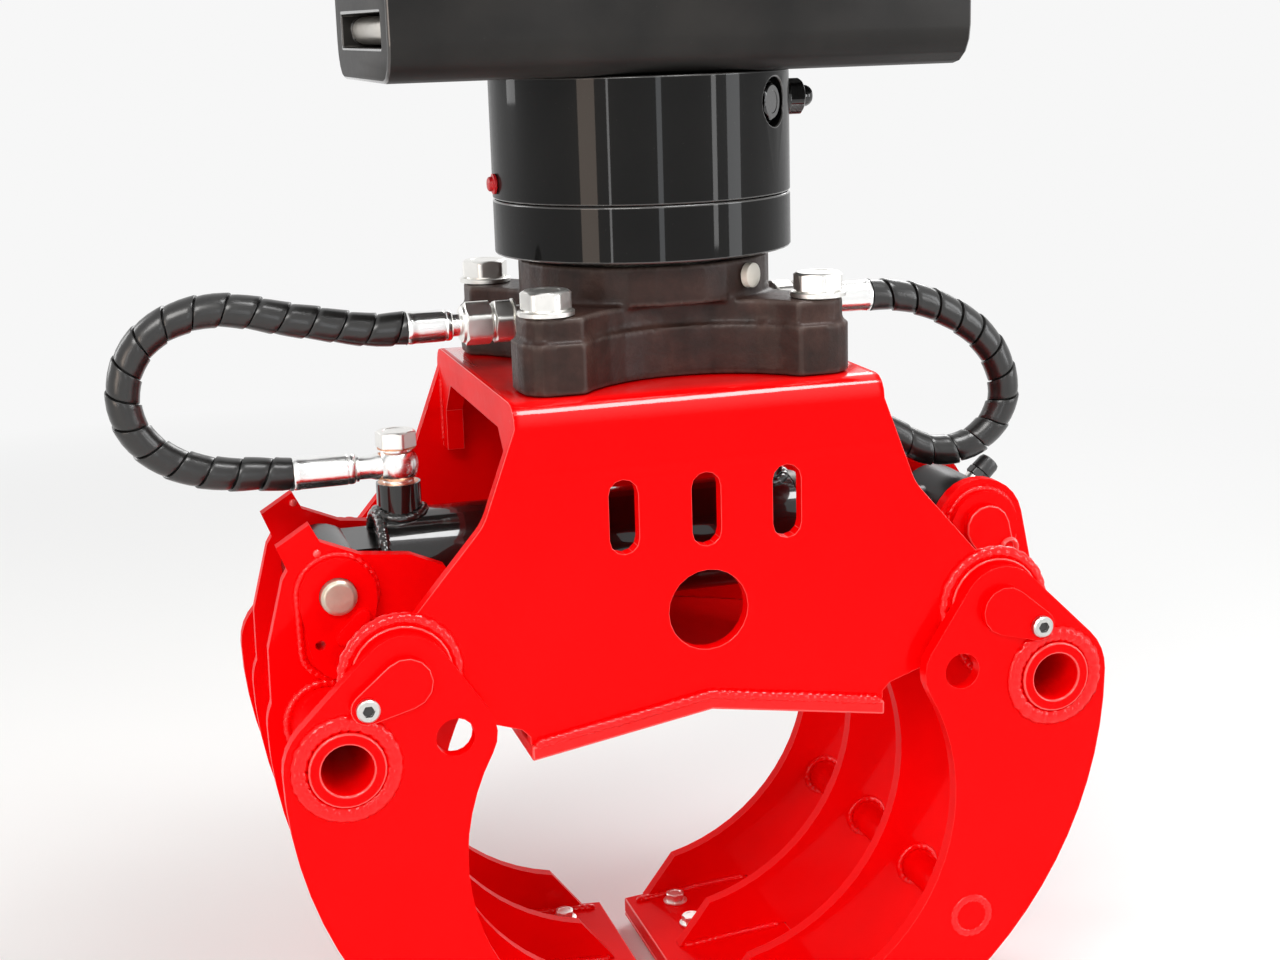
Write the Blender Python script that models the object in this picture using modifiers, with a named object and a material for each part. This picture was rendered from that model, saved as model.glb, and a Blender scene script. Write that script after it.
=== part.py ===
"""Sorting grapple: a hanger beam and hydraulic rotator carry a folded frame with two ribbed jaws,
which one horizontal cylinder between their levers opens and closes. Metres, +Z up, origin on the
rotator axis at the middle of the beam's top face. The jaws are modelled nearly closed."""

import math

import bmesh
import bpy
from mathutils import Matrix, Vector

# Clearances
GAP = 0.0003  # between faces that touch
RUN = 0.0003  # round a pin, shaft or screw in its hole
EYE_PLAY = 0.0024  # round the right lever pin in the rod's eye, where the linkage is opened
WELD_BITE = 0.0005  # how far welded shapes reach into each other before they are joined

# Hanger beam
BEAM_LENGTH = 0.309
BEAM_DEPTH = 0.176
BEAM_HEIGHT = 0.095
BEAM_OFFSET = 0.0033
BEAM_EDGE = 0.020
BEAM_END_EDGE = 0.004
POCKET_DEPTH = 0.026
POCKET_WIDTH = 0.136
POCKET_HEIGHT = 0.018
POCKET_RISE = 0.017
CROSS_PIN_R = 0.007

# Rotator
ROTATOR_R = 0.0825
HOUSING_HEIGHT = 0.0658
COVER_HEIGHT = 0.0302
HOUSING_WALL = 0.022
HOUSING_ROOF = 0.018
BEARING_WIDTH = 0.0155
COLLAR_MARGIN = 0.0025
BEARING_HEIGHT = 0.004
BEARING_DEPTH = 0.010
SEAL_WIDTH = 0.007
SEAL_HEIGHT = 0.008
SPIGOT_R = 0.030
SPIGOT_LENGTH = 0.022
PLUG_RISE = 0.049
PLUG_R = 0.0105
PLUG_SEAT_R = 0.013
PLUG_SEAT_DEPTH = 0.007
PLUG_BOLT_R = 0.007
PLUG_BOLT_LENGTH = 0.010
SIDE_PLUG_LENGTH = 0.018

# Cast flange under the rotator
ROTATOR_GAP = 0.003
HUB_R = 0.070
HUB_HEIGHT = 0.0207
FLANGE_THICKNESS = 0.040
FLANGE_TIER = 0.013
FLANGE_TIER_INSET = 0.003
BOLT_SPACING = 0.150
FLANGE_CORNER_R = 0.016
FLANGE_WAIST = 0.060

# M16 flange bolts
BOLT_R = 0.008
BOLT_HEAD_R = 0.01386
BOLT_HEAD_HEIGHT = 0.0102
WASHER_R = 0.015
WASHER_HEIGHT = 0.003
NUT_HEIGHT = 0.013

# Folded frame
PLATE = 0.008
BOSS_FLANGE = 0.0043
FOLD_R = 0.012
FRAME_TOP_HALF = 0.101
SHOULDER_X = 0.119
SHOULDER_DROP = 0.060
SHOULDER_ROUND = 0.030
SLOPE_FOOT_ANGLE = math.radians(105)
FOOT_ANGLE = math.radians(235)
FOOT_X = 0.104
FOOT_RISE = 0.009
SKIRT_X = 0.0996
BOTTOM_PLATE = 0.008
BOTTOM_LIP = 0.003
BOTTOM_PEAK_DROP = 0.169
BOTTOM_END_DROP = 0.185
RIB_PLATE = 0.010
RIB_LINTEL = 0.010
RIB_LEG_DROP = 0.060
RIB_LEG = 0.014
RIB_CHAMFER = 0.018
SLOT_WIDTH = 0.016
SLOT_LENGTH = 0.040
SLOT_PITCH = 0.045
SLOT_DROP = 0.063
ROUND_HOLE_R = 0.022
ROUND_HOLE_DROP = 0.118

# Jaw pivots
PIVOT_X = 0.1655
PIVOT_DROP = 0.133
BOSS_R = 0.0265
BOSS_SPIGOT_R = 0.020
BOSS_REACH = 0.018
FRAME_NOSE_R = 0.029
PIN_R = 0.010
FLAG_R = 0.0135
FLAG_TAIL_R = 0.0085
FLAG_PLATE = 0.005
FLAG_SCREW_OUT = 0.0205
FLAG_SCREW_DOWN = 0.0105
SCREW_R = 0.004
SCREW_HEAD_R = 0.006
SCREW_HEAD = 0.004

# Jaws: places are measured from the pivot, outward and up
JAW_DEPTH = 0.2348
LEVER_PLATE_Y = 0.039
HEAD_R = 0.024
TUBE_OUT = 0.032
TUBE_DOWN = 0.0425
TUBE_R = 0.020
TUBE_WALL = 0.0065
TUBE_PROUD = 0.003
SHOULDER_R = 0.032
MID_HOLE_IN = 0.024
MID_HOLE_DOWN = 0.033
MID_HOLE_R = 0.0102
ELBOW_R = 0.022
BACK_ARC_R = 0.2325
BELLY_ARC_R = 0.122
CROSS_BAR_SET = 0.0304
CROSS_BAR_DOWN = 0.180
CROSS_BAR_R = 0.010
TIP_GAP = 0.017
TIP_DROP = 0.2515
EDGE_PLATE = 0.010
EDGE_LENGTH = 0.084
EDGE_SLOPE = math.radians(4.2)
HEEL_SETBACK = 0.0128
HEEL_LENGTH = 0.0207
HEEL_RISE = 0.0270
KNIFE_PLATE = 0.008
KNIFE_LENGTH = 0.056
KNIFE_BEVEL = 0.012

# Levers above the jaws
LEVER_OUT = 0.0225
LEVER_UP = 0.028
LEVER_HEAD_R = 0.027
DOUBLER_PLATE = 0.006
DOUBLER_HEAD_R = 0.021
DOUBLER_FOOT_R = 0.016
DOUBLER_LENGTH = 0.030
PIN_PROUD = 0.005
PIN_CHAMFER = 0.002
PIN_TAIL_OUT = 0.010
PIN_TAIL_DOWN = 0.022

# The left levers' horned top, outward and up from the middle of their heads
HORN_EDGE = [
    (-0.069, -0.018),
    (-0.059, 0.009),
    (-0.041, 0.017),
    (-0.014, 0.020),
    (0.007, 0.029),
    (0.012, 0.039),
    (0.030, 0.028),
    (0.025, 0.015),
    (0.028, 0.010),
    (0.038, -0.027),
]

# Hydraulic cylinder
BARREL_R = 0.032
BARREL_BORE_R = 0.025
BASE_SETBACK = 0.030
BASE_THICKNESS = 0.010
EYE_R = 0.022
EYE_WIDTH = 0.050
TANG_HEIGHT = 0.036
STROKE = 0.0755
GLAND_FLANGE = 0.008
GLAND_NOSE = 0.032
ROD_R = 0.015
PISTON_LENGTH = 0.025
PISTON_HOLE_R = 0.009
PISTON_STOP = 0.003
PORT_R = 0.0125
PORT_SETBACK = 0.013
PORT_HEIGHT = 0.016
GLAND_PORT_SETBACK = 0.014

# Hydraulic fittings and hoses
HOSE_R = 0.0095
FERRULE_R = 0.0093
FERRULE_LENGTH = 0.025
NECK_R = 0.0065
NECK_LENGTH = 0.004
NUT_R = 0.0127
NUT_LENGTH = 0.018
ADAPTER_HEX_LENGTH = 0.012
ADAPTER_R = 0.0085
ADAPTER_THREAD_R = 0.007
ADAPTER_THREAD = 0.014
ADAPTER_STEM = 0.0165
PORT_RISE = 0.0275
PORT_SEAT_MARGIN = 0.002
PORT_SEAT_DEPTH = 0.0008
BANJO_R = 0.0118
BANJO_HEIGHT = 0.0185
BANJO_NECK = 0.0105
LOWER_FERRULE_LENGTH = 0.035
BANJO_BOLT_R = 0.006
BANJO_BOLT_DEPTH = 0.012
BANJO_HEAD_R = 0.0118
BANJO_HEAD = 0.010

# Heights, counted down from the top of the beam
BEAM_BOTTOM = -BEAM_HEIGHT
HOUSING_TOP = BEAM_BOTTOM - GAP
HOUSING_BOTTOM = BEAM_BOTTOM - HOUSING_HEIGHT
COVER_TOP = HOUSING_BOTTOM - GAP
COVER_BOTTOM = HOUSING_BOTTOM - COVER_HEIGHT
HUB_TOP = COVER_BOTTOM - ROTATOR_GAP
FLANGE_TOP = HUB_TOP - HUB_HEIGHT
FLANGE_BOTTOM = FLANGE_TOP - FLANGE_THICKNESS
FRAME_TOP = FLANGE_BOTTOM - GAP
PIVOT_Z = FRAME_TOP - PIVOT_DROP
LEVER_X = PIVOT_X + LEVER_OUT
LEVER_Z = PIVOT_Z + LEVER_UP
PORT_Z = FLANGE_BOTTOM + PORT_RISE

# Inside the rotator, from its drum inwards
CHAMBER_R = ROTATOR_R - HOUSING_WALL
SHAFT_COLLAR_R = CHAMBER_R - COLLAR_MARGIN
SHAFT_R = CHAMBER_R - BEARING_WIDTH

# Faces across the depth of the grapple
JAW_FACE = JAW_DEPTH / 2
JAW_INSIDE = JAW_FACE - PLATE
BOSS_FACE = JAW_INSIDE - GAP
FRAME_FACE = BOSS_FACE - BOSS_FLANGE - GAP
FRAME_DEPTH = 2 * FRAME_FACE
FRAME_INSIDE = FRAME_FACE - PLATE
LEVER_INSIDE = LEVER_PLATE_Y - PLATE / 2
LEVER_OUTSIDE = LEVER_PLATE_Y + PLATE / 2 + DOUBLER_PLATE

# Stations along the cylinder
BARREL_LEFT = -LEVER_X + BASE_SETBACK
BORE_LEFT = BARREL_LEFT + BASE_THICKNESS
ROD_EYE_LEFT = LEVER_X - EYE_R
GLAND_RIGHT = ROD_EYE_LEFT - STROKE
BARREL_RIGHT = GLAND_RIGHT - GLAND_FLANGE
GLAND_LEFT = BARREL_RIGHT - GLAND_NOSE
PISTON_RIGHT = GLAND_LEFT - PISTON_STOP
BASE_PORT_X = BARREL_LEFT + PORT_SETBACK
ROD_PORT_X = BARREL_RIGHT - GLAND_PORT_SETBACK
PORT_TOP = LEVER_Z + BARREL_R + PORT_HEIGHT
BANJO_Z = PORT_TOP + GAP + BANJO_HEIGHT / 2

# Colour, roughness and metallic value of each finish
FINISHES = {
    "red_paint": ((0.80, 0.006, 0.006), 0.28, 0.0),
    "black_paint": ((0.012, 0.012, 0.013), 0.18, 0.0),
    "cast_black": ((0.035, 0.033, 0.032), 0.45, 0.2),
    "zinc": ((0.62, 0.62, 0.60), 0.32, 1.0),
    "chrome": ((0.75, 0.75, 0.76), 0.08, 1.0),
    "steel": ((0.32, 0.32, 0.33), 0.38, 1.0),
    "bronze": ((0.45, 0.27, 0.11), 0.40, 1.0),
    "hose_rubber": ((0.018, 0.018, 0.018), 0.42, 0.0),
    "seal_rubber": ((0.03, 0.03, 0.03), 0.60, 0.0),
}

for old in list(bpy.data.objects):
    bpy.data.objects.remove(old, do_unlink=True)

PARTS = bpy.data.collections.new("sorting_grapple")
CUTTERS = bpy.data.collections.new("cutters")
for collection in (PARTS, CUTTERS):
    bpy.context.scene.collection.children.link(collection)


def make_material(name):
    """A Principled BSDF of that finish."""
    colour, roughness, metallic = FINISHES[name]
    material = bpy.data.materials.new(name)
    material.use_nodes = True
    shader = material.node_tree.nodes["Principled BSDF"]
    shader.inputs["Base Color"].default_value = (*colour, 1.0)
    shader.inputs["Roughness"].default_value = roughness
    shader.inputs["Metallic"].default_value = metallic
    return material


def finish(obj, material):
    """Puts a finished piece in the grapple's collection with its own material."""
    obj.data.materials.clear()
    obj.data.materials.append(make_material(material))
    for other in obj.users_collection:
        other.objects.unlink(obj)
    PARTS.objects.link(obj)
    return obj


# Outlines


def arc(centre, radius, start, end, steps):
    """Points on a circle from one angle to another, both ends included."""
    angles = [start + (end - start) * i / steps for i in range(steps + 1)]
    return [(centre[0] + radius * math.cos(a), centre[1] + radius * math.sin(a)) for a in angles]


def eased(before, corner, after, radius, steps=4):
    """Points of an outline's corner rounded to a radius, between the points before and after it."""
    corner = Vector(corner)
    back, ahead = (Vector(before) - corner).normalized(), (Vector(after) - corner).normalized()
    half = back.angle(ahead) / 2
    centre = corner + (back + ahead).normalized() * radius / math.sin(half)
    run = radius / math.tan(half)
    first, last = corner + back * run - centre, corner + ahead * run - centre
    spokes = [first.lerp(last, i / steps).normalized() for i in range(steps + 1)]
    return [tuple(centre + spoke * radius) for spoke in spokes]


def circle(centre, radius, steps=24):
    """A closed round loop."""
    return arc(centre, radius, 0, 2 * math.pi * (1 - 1 / steps), steps - 1)


def meeting(first, first_r, second, second_r):
    """Where two circles cross, on the right of the line from the first centre to the second."""
    dx, dz = second[0] - first[0], second[1] - first[1]
    distance = math.hypot(dx, dz)
    along = (first_r**2 - second_r**2 + distance**2) / (2 * distance)
    across = math.sqrt(first_r**2 - along**2)
    x = first[0] + (along * dx + across * dz) / distance
    return x, first[1] + (along * dz - across * dx) / distance


def bearing(start, end):
    """The direction from one point to another."""
    return math.atan2(end[1] - start[1], end[0] - start[0])


def flank(from_circle, to_circle):
    """The angle at which a straight edge on the left, walking from one circle to the other, touches both."""
    (ax, ay, ar), (bx, by, br) = from_circle, to_circle
    distance = math.hypot(bx - ax, by - ay)
    return math.atan2(by - ay, bx - ax) + math.pi / 2 + math.asin((br - ar) / distance)


def capsule(upper, lower, steps):
    """The outline of a strap round two circles (x, z, radius), the first one above the second."""
    right = flank(upper, lower)
    left = flank(lower, upper)
    top = arc(upper[:2], upper[2], left, right, steps)
    bottom = arc(lower[:2], lower[2], right, left - 2 * math.pi, steps)
    return top + bottom


def place(points, side):
    """Moves jaw points, measured outward and up from the pivot, to the left (-1) or right (1) jaw."""
    return [(side * (PIVOT_X + out), PIVOT_Z + up) for out, up in points]


# Solids


def mesh_from_curve(curve_object):
    """A welded mesh object from a curve, in the curve's place."""
    bpy.context.view_layer.update()
    graph = bpy.context.evaluated_depsgraph_get()
    mesh = bpy.data.meshes.new_from_object(curve_object.evaluated_get(graph), depsgraph=graph)
    shape = bmesh.new()
    shape.from_mesh(mesh)
    bmesh.ops.remove_doubles(shape, verts=shape.verts, dist=0.00001)
    shape.to_mesh(mesh)
    shape.free()
    name = curve_object.name
    world = curve_object.matrix_world.copy()
    bpy.data.objects.remove(curve_object, do_unlink=True)
    obj = bpy.data.objects.new(name, mesh)
    obj.matrix_world = world
    CUTTERS.objects.link(obj)
    return obj


ACROSS = {
    "X": Matrix(((0, 0, 1), (1, 0, 0), (0, 1, 0))).to_4x4(),
    "Y": Matrix(((1, 0, 0), (0, 0, -1), (0, 1, 0))).to_4x4(),
    "Z": Matrix.Identity(4),
}


def plate(name, loops, low, high, across="Y"):
    """A flat plate: the first loop is its edge and the rest are holes. It lies from low to high across
    the named axis, and the loops hold the other two coordinates in order."""
    curve = bpy.data.curves.new(name, "CURVE")
    curve.dimensions = "2D"
    curve.fill_mode = "BOTH"
    curve.extrude = (high - low) / 2
    for loop in loops:
        spline = curve.splines.new("POLY")
        spline.points.add(len(loop) - 1)
        for point, (a, b) in zip(spline.points, loop):
            point.co = (a, b, 0.0, 1.0)
        spline.use_cyclic_u = True
    obj = bpy.data.objects.new(name, curve)
    CUTTERS.objects.link(obj)
    middle = Vector([(low + high) / 2 if axis == across else 0.0 for axis in "XYZ"])
    obj.matrix_world = Matrix.Translation(middle) @ ACROSS[across]
    return mesh_from_curve(obj)


TURN = {
    "+X": Matrix.Rotation(math.pi / 2, 4, "Y"),
    "-X": Matrix.Rotation(-math.pi / 2, 4, "Y"),
    "+Y": Matrix.Rotation(-math.pi / 2, 4, "X"),
    "-Y": Matrix.Rotation(math.pi / 2, 4, "X"),
    "+Z": Matrix.Identity(4),
}


def turned(name, profile, place_at=(0, 0, 0), towards="+Z", steps=32, ring=False):
    """A turned solid: (radius, height) points that run down its outer side, turned round an axis
    through place_at. A ring's profile is closed, with its bore's points running back up."""
    mesh = bpy.data.meshes.new(name)
    last = len(profile)
    edges = [(i, i + 1) for i in range(last - 1)]
    if ring:
        edges.append((last - 1, 0))
    mesh.from_pydata([(radius, 0, height) for radius, height in profile], edges, [])
    obj = bpy.data.objects.new(name, mesh)
    CUTTERS.objects.link(obj)
    obj.matrix_world = Matrix.Translation(place_at) @ TURN[towards]
    screw = obj.modifiers.new("Screw", "SCREW")
    screw.steps = screw.render_steps = steps
    screw.use_merge_vertices = True
    screw.merge_threshold = 0.00001
    return obj


def cylinder(name, radius, low, high, place_at=(0, 0, 0), towards="+Z", steps=24):
    """A plain round bar from low to high along its axis."""
    return turned(name, [(0, high), (radius, high), (radius, low), (0, low)], place_at, towards, steps)


def hexagon(name, radius, low, high, place_at=(0, 0, 0), towards="+Z"):
    """A hexagonal bar, across its corners twice the radius."""
    return cylinder(name, radius, low, high, place_at, towards, 6)


def block(name, size, centre):
    """A rectangular block."""
    bpy.ops.mesh.primitive_cube_add(size=1.0)
    obj = bpy.context.object
    obj.name = name
    obj.data.transform(Matrix.Diagonal((*size, 1.0)))
    obj.location = centre
    for other in obj.users_collection:
        other.objects.unlink(obj)
    CUTTERS.objects.link(obj)
    return obj


def combine(body, operation, *tools):
    """Cuts, joins or intersects a body with helper solids, which stay as hidden guides."""
    for tool in tools:
        boolean = body.modifiers.new(tool.name, "BOOLEAN")
        boolean.object = tool
        boolean.operation = operation
        boolean.solver = "EXACT"
        tool.hide_render = True
        tool.display_type = "WIRE"
    return body


def tube_along(name, points, radius):
    """A round tube with filled ends, straight at both ends and smooth through the points between."""
    curve = bpy.data.curves.new(name, "CURVE")
    curve.dimensions = "3D"
    curve.bevel_depth = radius
    curve.bevel_resolution = 2
    curve.use_fill_caps = True
    spline = curve.splines.new("POLY")
    smooth = [points[0], *smooth_path(points[1:-1]), points[-1]]
    spline.points.add(len(smooth) - 1)
    for point, place_at in zip(spline.points, smooth):
        point.co = (*place_at, 1.0)
    obj = bpy.data.objects.new(name, curve)
    CUTTERS.objects.link(obj)
    return obj


def smooth_path(points, per_span=3):
    """Points on a Catmull-Rom curve through the given ones."""
    path = [Vector(p) for p in points]
    padded = [2 * path[0] - path[1], *path, 2 * path[-1] - path[-2]]
    result = []
    for a, b, c, d in zip(padded, padded[1:], padded[2:], padded[3:]):
        for i in range(per_span):
            t = i / per_span
            bend = 2 * b + (c - a) * t + (2 * a - 5 * b + 4 * c - d) * t**2
            result.append((bend + (3 * b - a - 3 * c + d) * t**3) / 2)
    return [*result, path[-1]]


# Hanger and rotator


def hanger_beam():
    """The rounded beam that the machine holds, with a pocket and a fixed cross pin in each end."""
    wide = BEAM_DEPTH / 2 - BEAM_EDGE
    high, low = -BEAM_EDGE, BEAM_BOTTOM + BEAM_EDGE
    outline = []
    for turn, corner in enumerate(((wide, high), (-wide, high), (-wide, low), (wide, low))):
        start = turn * math.pi / 2
        outline += arc(corner, BEAM_EDGE, start, start + math.pi / 2, 4)
    left = BEAM_OFFSET - BEAM_LENGTH / 2
    beam = plate("hanger_beam", [outline], left, left + BEAM_LENGTH, "X")
    rounding = beam.modifiers.new("Bevel", "BEVEL")
    rounding.width = BEAM_END_EDGE
    rounding.segments = 2
    rounding.limit_method = "ANGLE"
    rounding.angle_limit = math.radians(60)
    pocket_z = BEAM_BOTTOM + POCKET_RISE + POCKET_HEIGHT / 2
    for side in (-1, 1):
        end = BEAM_OFFSET + side * BEAM_LENGTH / 2
        size = (2 * POCKET_DEPTH, POCKET_WIDTH, POCKET_HEIGHT)
        combine(beam, "DIFFERENCE", block("pocket", size, (end, 0, pocket_z)))
        pin_x = end - side * POCKET_DEPTH / 2
        reach = POCKET_WIDTH / 2 + WELD_BITE
        pin = cylinder("cross_pin", CROSS_PIN_R, -reach, reach, (pin_x, 0, pocket_z), "+Y", 16)
        combine(beam, "UNION", pin)
    return finish(beam, "black_paint")


def rotator_housing():
    """The upper drum of the rotator, hollow from below, with two plugged ports."""
    roof = HOUSING_TOP - HOUSING_ROOF
    outline = [
        (0, HOUSING_TOP),
        (ROTATOR_R, HOUSING_TOP),
        (ROTATOR_R, HOUSING_BOTTOM),
        (CHAMBER_R, HOUSING_BOTTOM),
        (CHAMBER_R, roof),
        (0, roof),
    ]
    housing = turned("rotator_housing", outline, steps=48)
    for direction, seat_r in (((1, -1, 0), PLUG_SEAT_R), ((1, 0, 0), PLUG_BOLT_R + RUN)):
        outward = Vector(direction).normalized()
        depth = PLUG_SEAT_DEPTH if seat_r == PLUG_SEAT_R else PLUG_BOLT_LENGTH + GAP
        aim = outward.to_track_quat("Z", "Y").to_matrix().to_4x4()
        seat = cylinder("plug_seat", seat_r, ROTATOR_R - depth, ROTATOR_R + PLUG_SEAT_DEPTH)
        seat.matrix_world = Matrix.Translation((0, 0, plug_z())) @ aim
        combine(housing, "DIFFERENCE", seat)
    return finish(housing, "black_paint")


def plug_z():
    """Height of the rotator's two plugs."""
    return HOUSING_BOTTOM + PLUG_RISE


def rotator_plugs():
    """A sunk screw plug at the front right and a hexagonal one that stands out at the side."""
    aim = Vector((1, -1, 0)).normalized().to_track_quat("Z", "Y").to_matrix().to_4x4()
    seat = ROTATOR_R - PLUG_SEAT_DEPTH + GAP
    front = hexagon("rotator_plug_front", PLUG_R, seat, ROTATOR_R)
    front.matrix_world = Matrix.Translation((0, 0, plug_z())) @ aim
    finish(front, "black_paint")
    at = (0, 0, plug_z())
    outside = ROTATOR_R + GAP
    side = hexagon("rotator_plug_side", PLUG_R, outside, outside + SIDE_PLUG_LENGTH, at, "+X")
    bolt = cylinder("plug_bolt", PLUG_BOLT_R, ROTATOR_R - PLUG_BOLT_LENGTH, outside + WELD_BITE, at, "+X", 16)
    combine(side, "UNION", bolt)
    finish(side, "black_paint")


def rotator_end_cover():
    """The lower ring that closes the drum and carries the shaft's bearing and seal."""
    bore = SHAFT_R + RUN
    ledge = COVER_TOP - BEARING_DEPTH
    groove_r = bore + SEAL_WIDTH
    outline = [
        (CHAMBER_R, COVER_TOP),
        (ROTATOR_R, COVER_TOP),
        (ROTATOR_R, COVER_BOTTOM),
        (groove_r, COVER_BOTTOM),
        (groove_r, COVER_BOTTOM + SEAL_HEIGHT),
        (bore, COVER_BOTTOM + SEAL_HEIGHT),
        (bore, ledge),
        (CHAMBER_R, ledge),
    ]
    return finish(turned("rotator_end_cover", outline, steps=48, ring=True), "black_paint")


def rotator_bearing():
    """The flat thrust bearing that the shaft's collar hangs on."""
    outer = CHAMBER_R - RUN
    inner = SHAFT_R + RUN
    low = COVER_TOP - BEARING_DEPTH + GAP
    high = low + BEARING_HEIGHT
    outline = [(outer, high), (outer, low), (inner, low), (inner, high)]
    return finish(turned("rotator_bearing", outline, ring=True), "bronze")


def rotator_seal():
    """The lip seal in the groove at the cover's mouth."""
    inner = SHAFT_R + RUN
    outer = inner + SEAL_WIDTH - RUN
    low = COVER_BOTTOM
    high = low + SEAL_HEIGHT - GAP
    outline = [(outer, high), (outer, low), (inner, low), (inner, high)]
    return finish(turned("rotator_seal", outline, ring=True), "seal_rubber")


def rotor_shaft():
    """The shaft and drum that turn inside the rotator and end in a spigot in the flange."""
    drum_r = CHAMBER_R - 3 * RUN
    drum_top = HOUSING_TOP - HOUSING_ROOF - GAP
    collar = COVER_TOP - BEARING_DEPTH + GAP + BEARING_HEIGHT + GAP
    foot = HUB_TOP + GAP
    outline = [
        (0, drum_top),
        (drum_r, drum_top),
        (drum_r, HOUSING_BOTTOM + GAP),
        (SHAFT_COLLAR_R, HOUSING_BOTTOM + GAP),
        (SHAFT_COLLAR_R, collar),
        (SHAFT_R, collar),
        (SHAFT_R, foot),
        (SPIGOT_R, foot),
        (SPIGOT_R, foot - SPIGOT_LENGTH),
        (0, foot - SPIGOT_LENGTH),
    ]
    return finish(turned("rotor_shaft", outline), "steel")


# Flange and frame


def flange_outline(inset):
    """Square flange with rounded corners and hollow sides, drawn one side at a time."""
    half = BOLT_SPACING / 2
    face = half + FLANGE_CORNER_R - inset
    arm = half - FLANGE_CORNER_R
    sag = face - FLANGE_WAIST + inset
    hollow_r = (arm**2 + sag**2) / (2 * sag)
    spread = math.asin(arm / hollow_r)
    hollow = arc((0, -face + sag - hollow_r), hollow_r, math.pi / 2 + spread, math.pi / 2 - spread, 11)
    corner = arc((half, -half), FLANGE_CORNER_R - inset, -math.pi / 2, 0, 4)
    side = hollow + corner
    outline = []
    for turn in range(4):
        angle = turn * math.pi / 2
        cos, sin = math.cos(angle), math.sin(angle)
        outline += [(x * cos - y * sin, x * sin + y * cos) for x, y in side]
    return outline


def bolt_places():
    """The four bolts' centres: front left, front right, rear left and rear right."""
    half = BOLT_SPACING / 2
    return [(x, y) for y in (-half, half) for x in (-half, half)]


def rotator_flange():
    """The cast flange: a stepped square plate with a round hub, side ports and bolt holes."""
    step = FLANGE_TOP - FLANGE_TIER
    base = plate("rotator_flange", [flange_outline(0)], FLANGE_BOTTOM, step, "Z")
    tier_bottom = step - WELD_BITE
    tier = plate("flange_tier", [flange_outline(FLANGE_TIER_INSET)], tier_bottom, FLANGE_TOP, "Z")
    hub = cylinder("flange_hub", HUB_R, FLANGE_TOP - WELD_BITE, HUB_TOP, steps=32)
    combine(base, "UNION", tier, hub)
    for x, y in bolt_places():
        low, high = FLANGE_BOTTOM - PLATE, FLANGE_TOP + PLATE
        combine(base, "DIFFERENCE", cylinder("bolt_hole", BOLT_R + RUN, low, high, (x, y, 0), steps=16))
    bore = cylinder("flange_bore", SPIGOT_R + RUN, HUB_TOP - SPIGOT_LENGTH - GAP, HUB_TOP + GAP)
    combine(base, "DIFFERENCE", bore)
    for towards in ("-X", "+X"):
        deep = FLANGE_WAIST - ADAPTER_THREAD - GAP
        port = cylinder("port", ADAPTER_THREAD_R + RUN, deep, FLANGE_WAIST + PLATE, (0, 0, PORT_Z), towards, 16)
        seat_r = ADAPTER_R + PORT_SEAT_MARGIN
        face = FLANGE_WAIST - PORT_SEAT_DEPTH
        seat = cylinder("port_seat", seat_r, face, FLANGE_WAIST + PLATE, (0, 0, PORT_Z), towards)
        combine(base, "DIFFERENCE", port, seat)
    return finish(base, "cast_black")


def flange_bolts():
    """Four M16 bolts with washers, down through the flange and frame into the weld nuts."""
    shank_end = FRAME_TOP - PLATE - NUT_HEIGHT
    washer = FLANGE_TOP + GAP
    head = washer + WASHER_HEIGHT
    for number, (x, y) in enumerate(bolt_places(), 1):
        at = (x, y, 0)
        outline = [
            (0, head),
            (WASHER_R, head),
            (WASHER_R, washer),
            (BOLT_R, washer),
            (BOLT_R, shank_end),
            (0, shank_end),
        ]
        bolt = turned(f"flange_bolt_{number}", outline, at, steps=16)
        hexagonal = hexagon("bolt_head", BOLT_HEAD_R, head - WELD_BITE, head + BOLT_HEAD_HEIGHT, at)
        combine(bolt, "UNION", hexagonal)
        finish(bolt, "zinc")


def frame_outline():
    """The edge of the frame's front and back plates, right half first."""
    pivot = (PIVOT_X, PIVOT_Z)
    peak = FRAME_TOP - BOTTOM_PEAK_DROP + BOTTOM_PLATE / 2 + GAP
    end = FRAME_TOP - BOTTOM_END_DROP + BOTTOM_PLATE / 2 + GAP
    nose = arc(pivot, FRAME_NOSE_R, SLOPE_FOOT_ANGLE, FOOT_ANGLE - 2 * math.pi, 14)
    corner = (FRAME_TOP_HALF, FRAME_TOP - FOLD_R)
    shoulder = (SHOULDER_X, FRAME_TOP - SHOULDER_DROP)
    right = [
        (FRAME_TOP_HALF, FRAME_TOP + PLATE),
        corner,
        *eased(corner, shoulder, nose[0], SHOULDER_ROUND),
        *nose,
        (FOOT_X, end + FOOT_RISE),
        (SKIRT_X, end + FOOT_RISE / 2),
        (SKIRT_X, end),
    ]
    left = [(-x, z) for x, z in reversed(right)]
    return right + [(0, peak)] + left


def obround(centre, width, length):
    """An upright slot with round ends."""
    reach = (length - width) / 2
    upper = (centre[0], centre[1] + reach, width / 2)
    lower = (centre[0], centre[1] - reach, width / 2)
    return capsule(upper, lower, 6)


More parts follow.
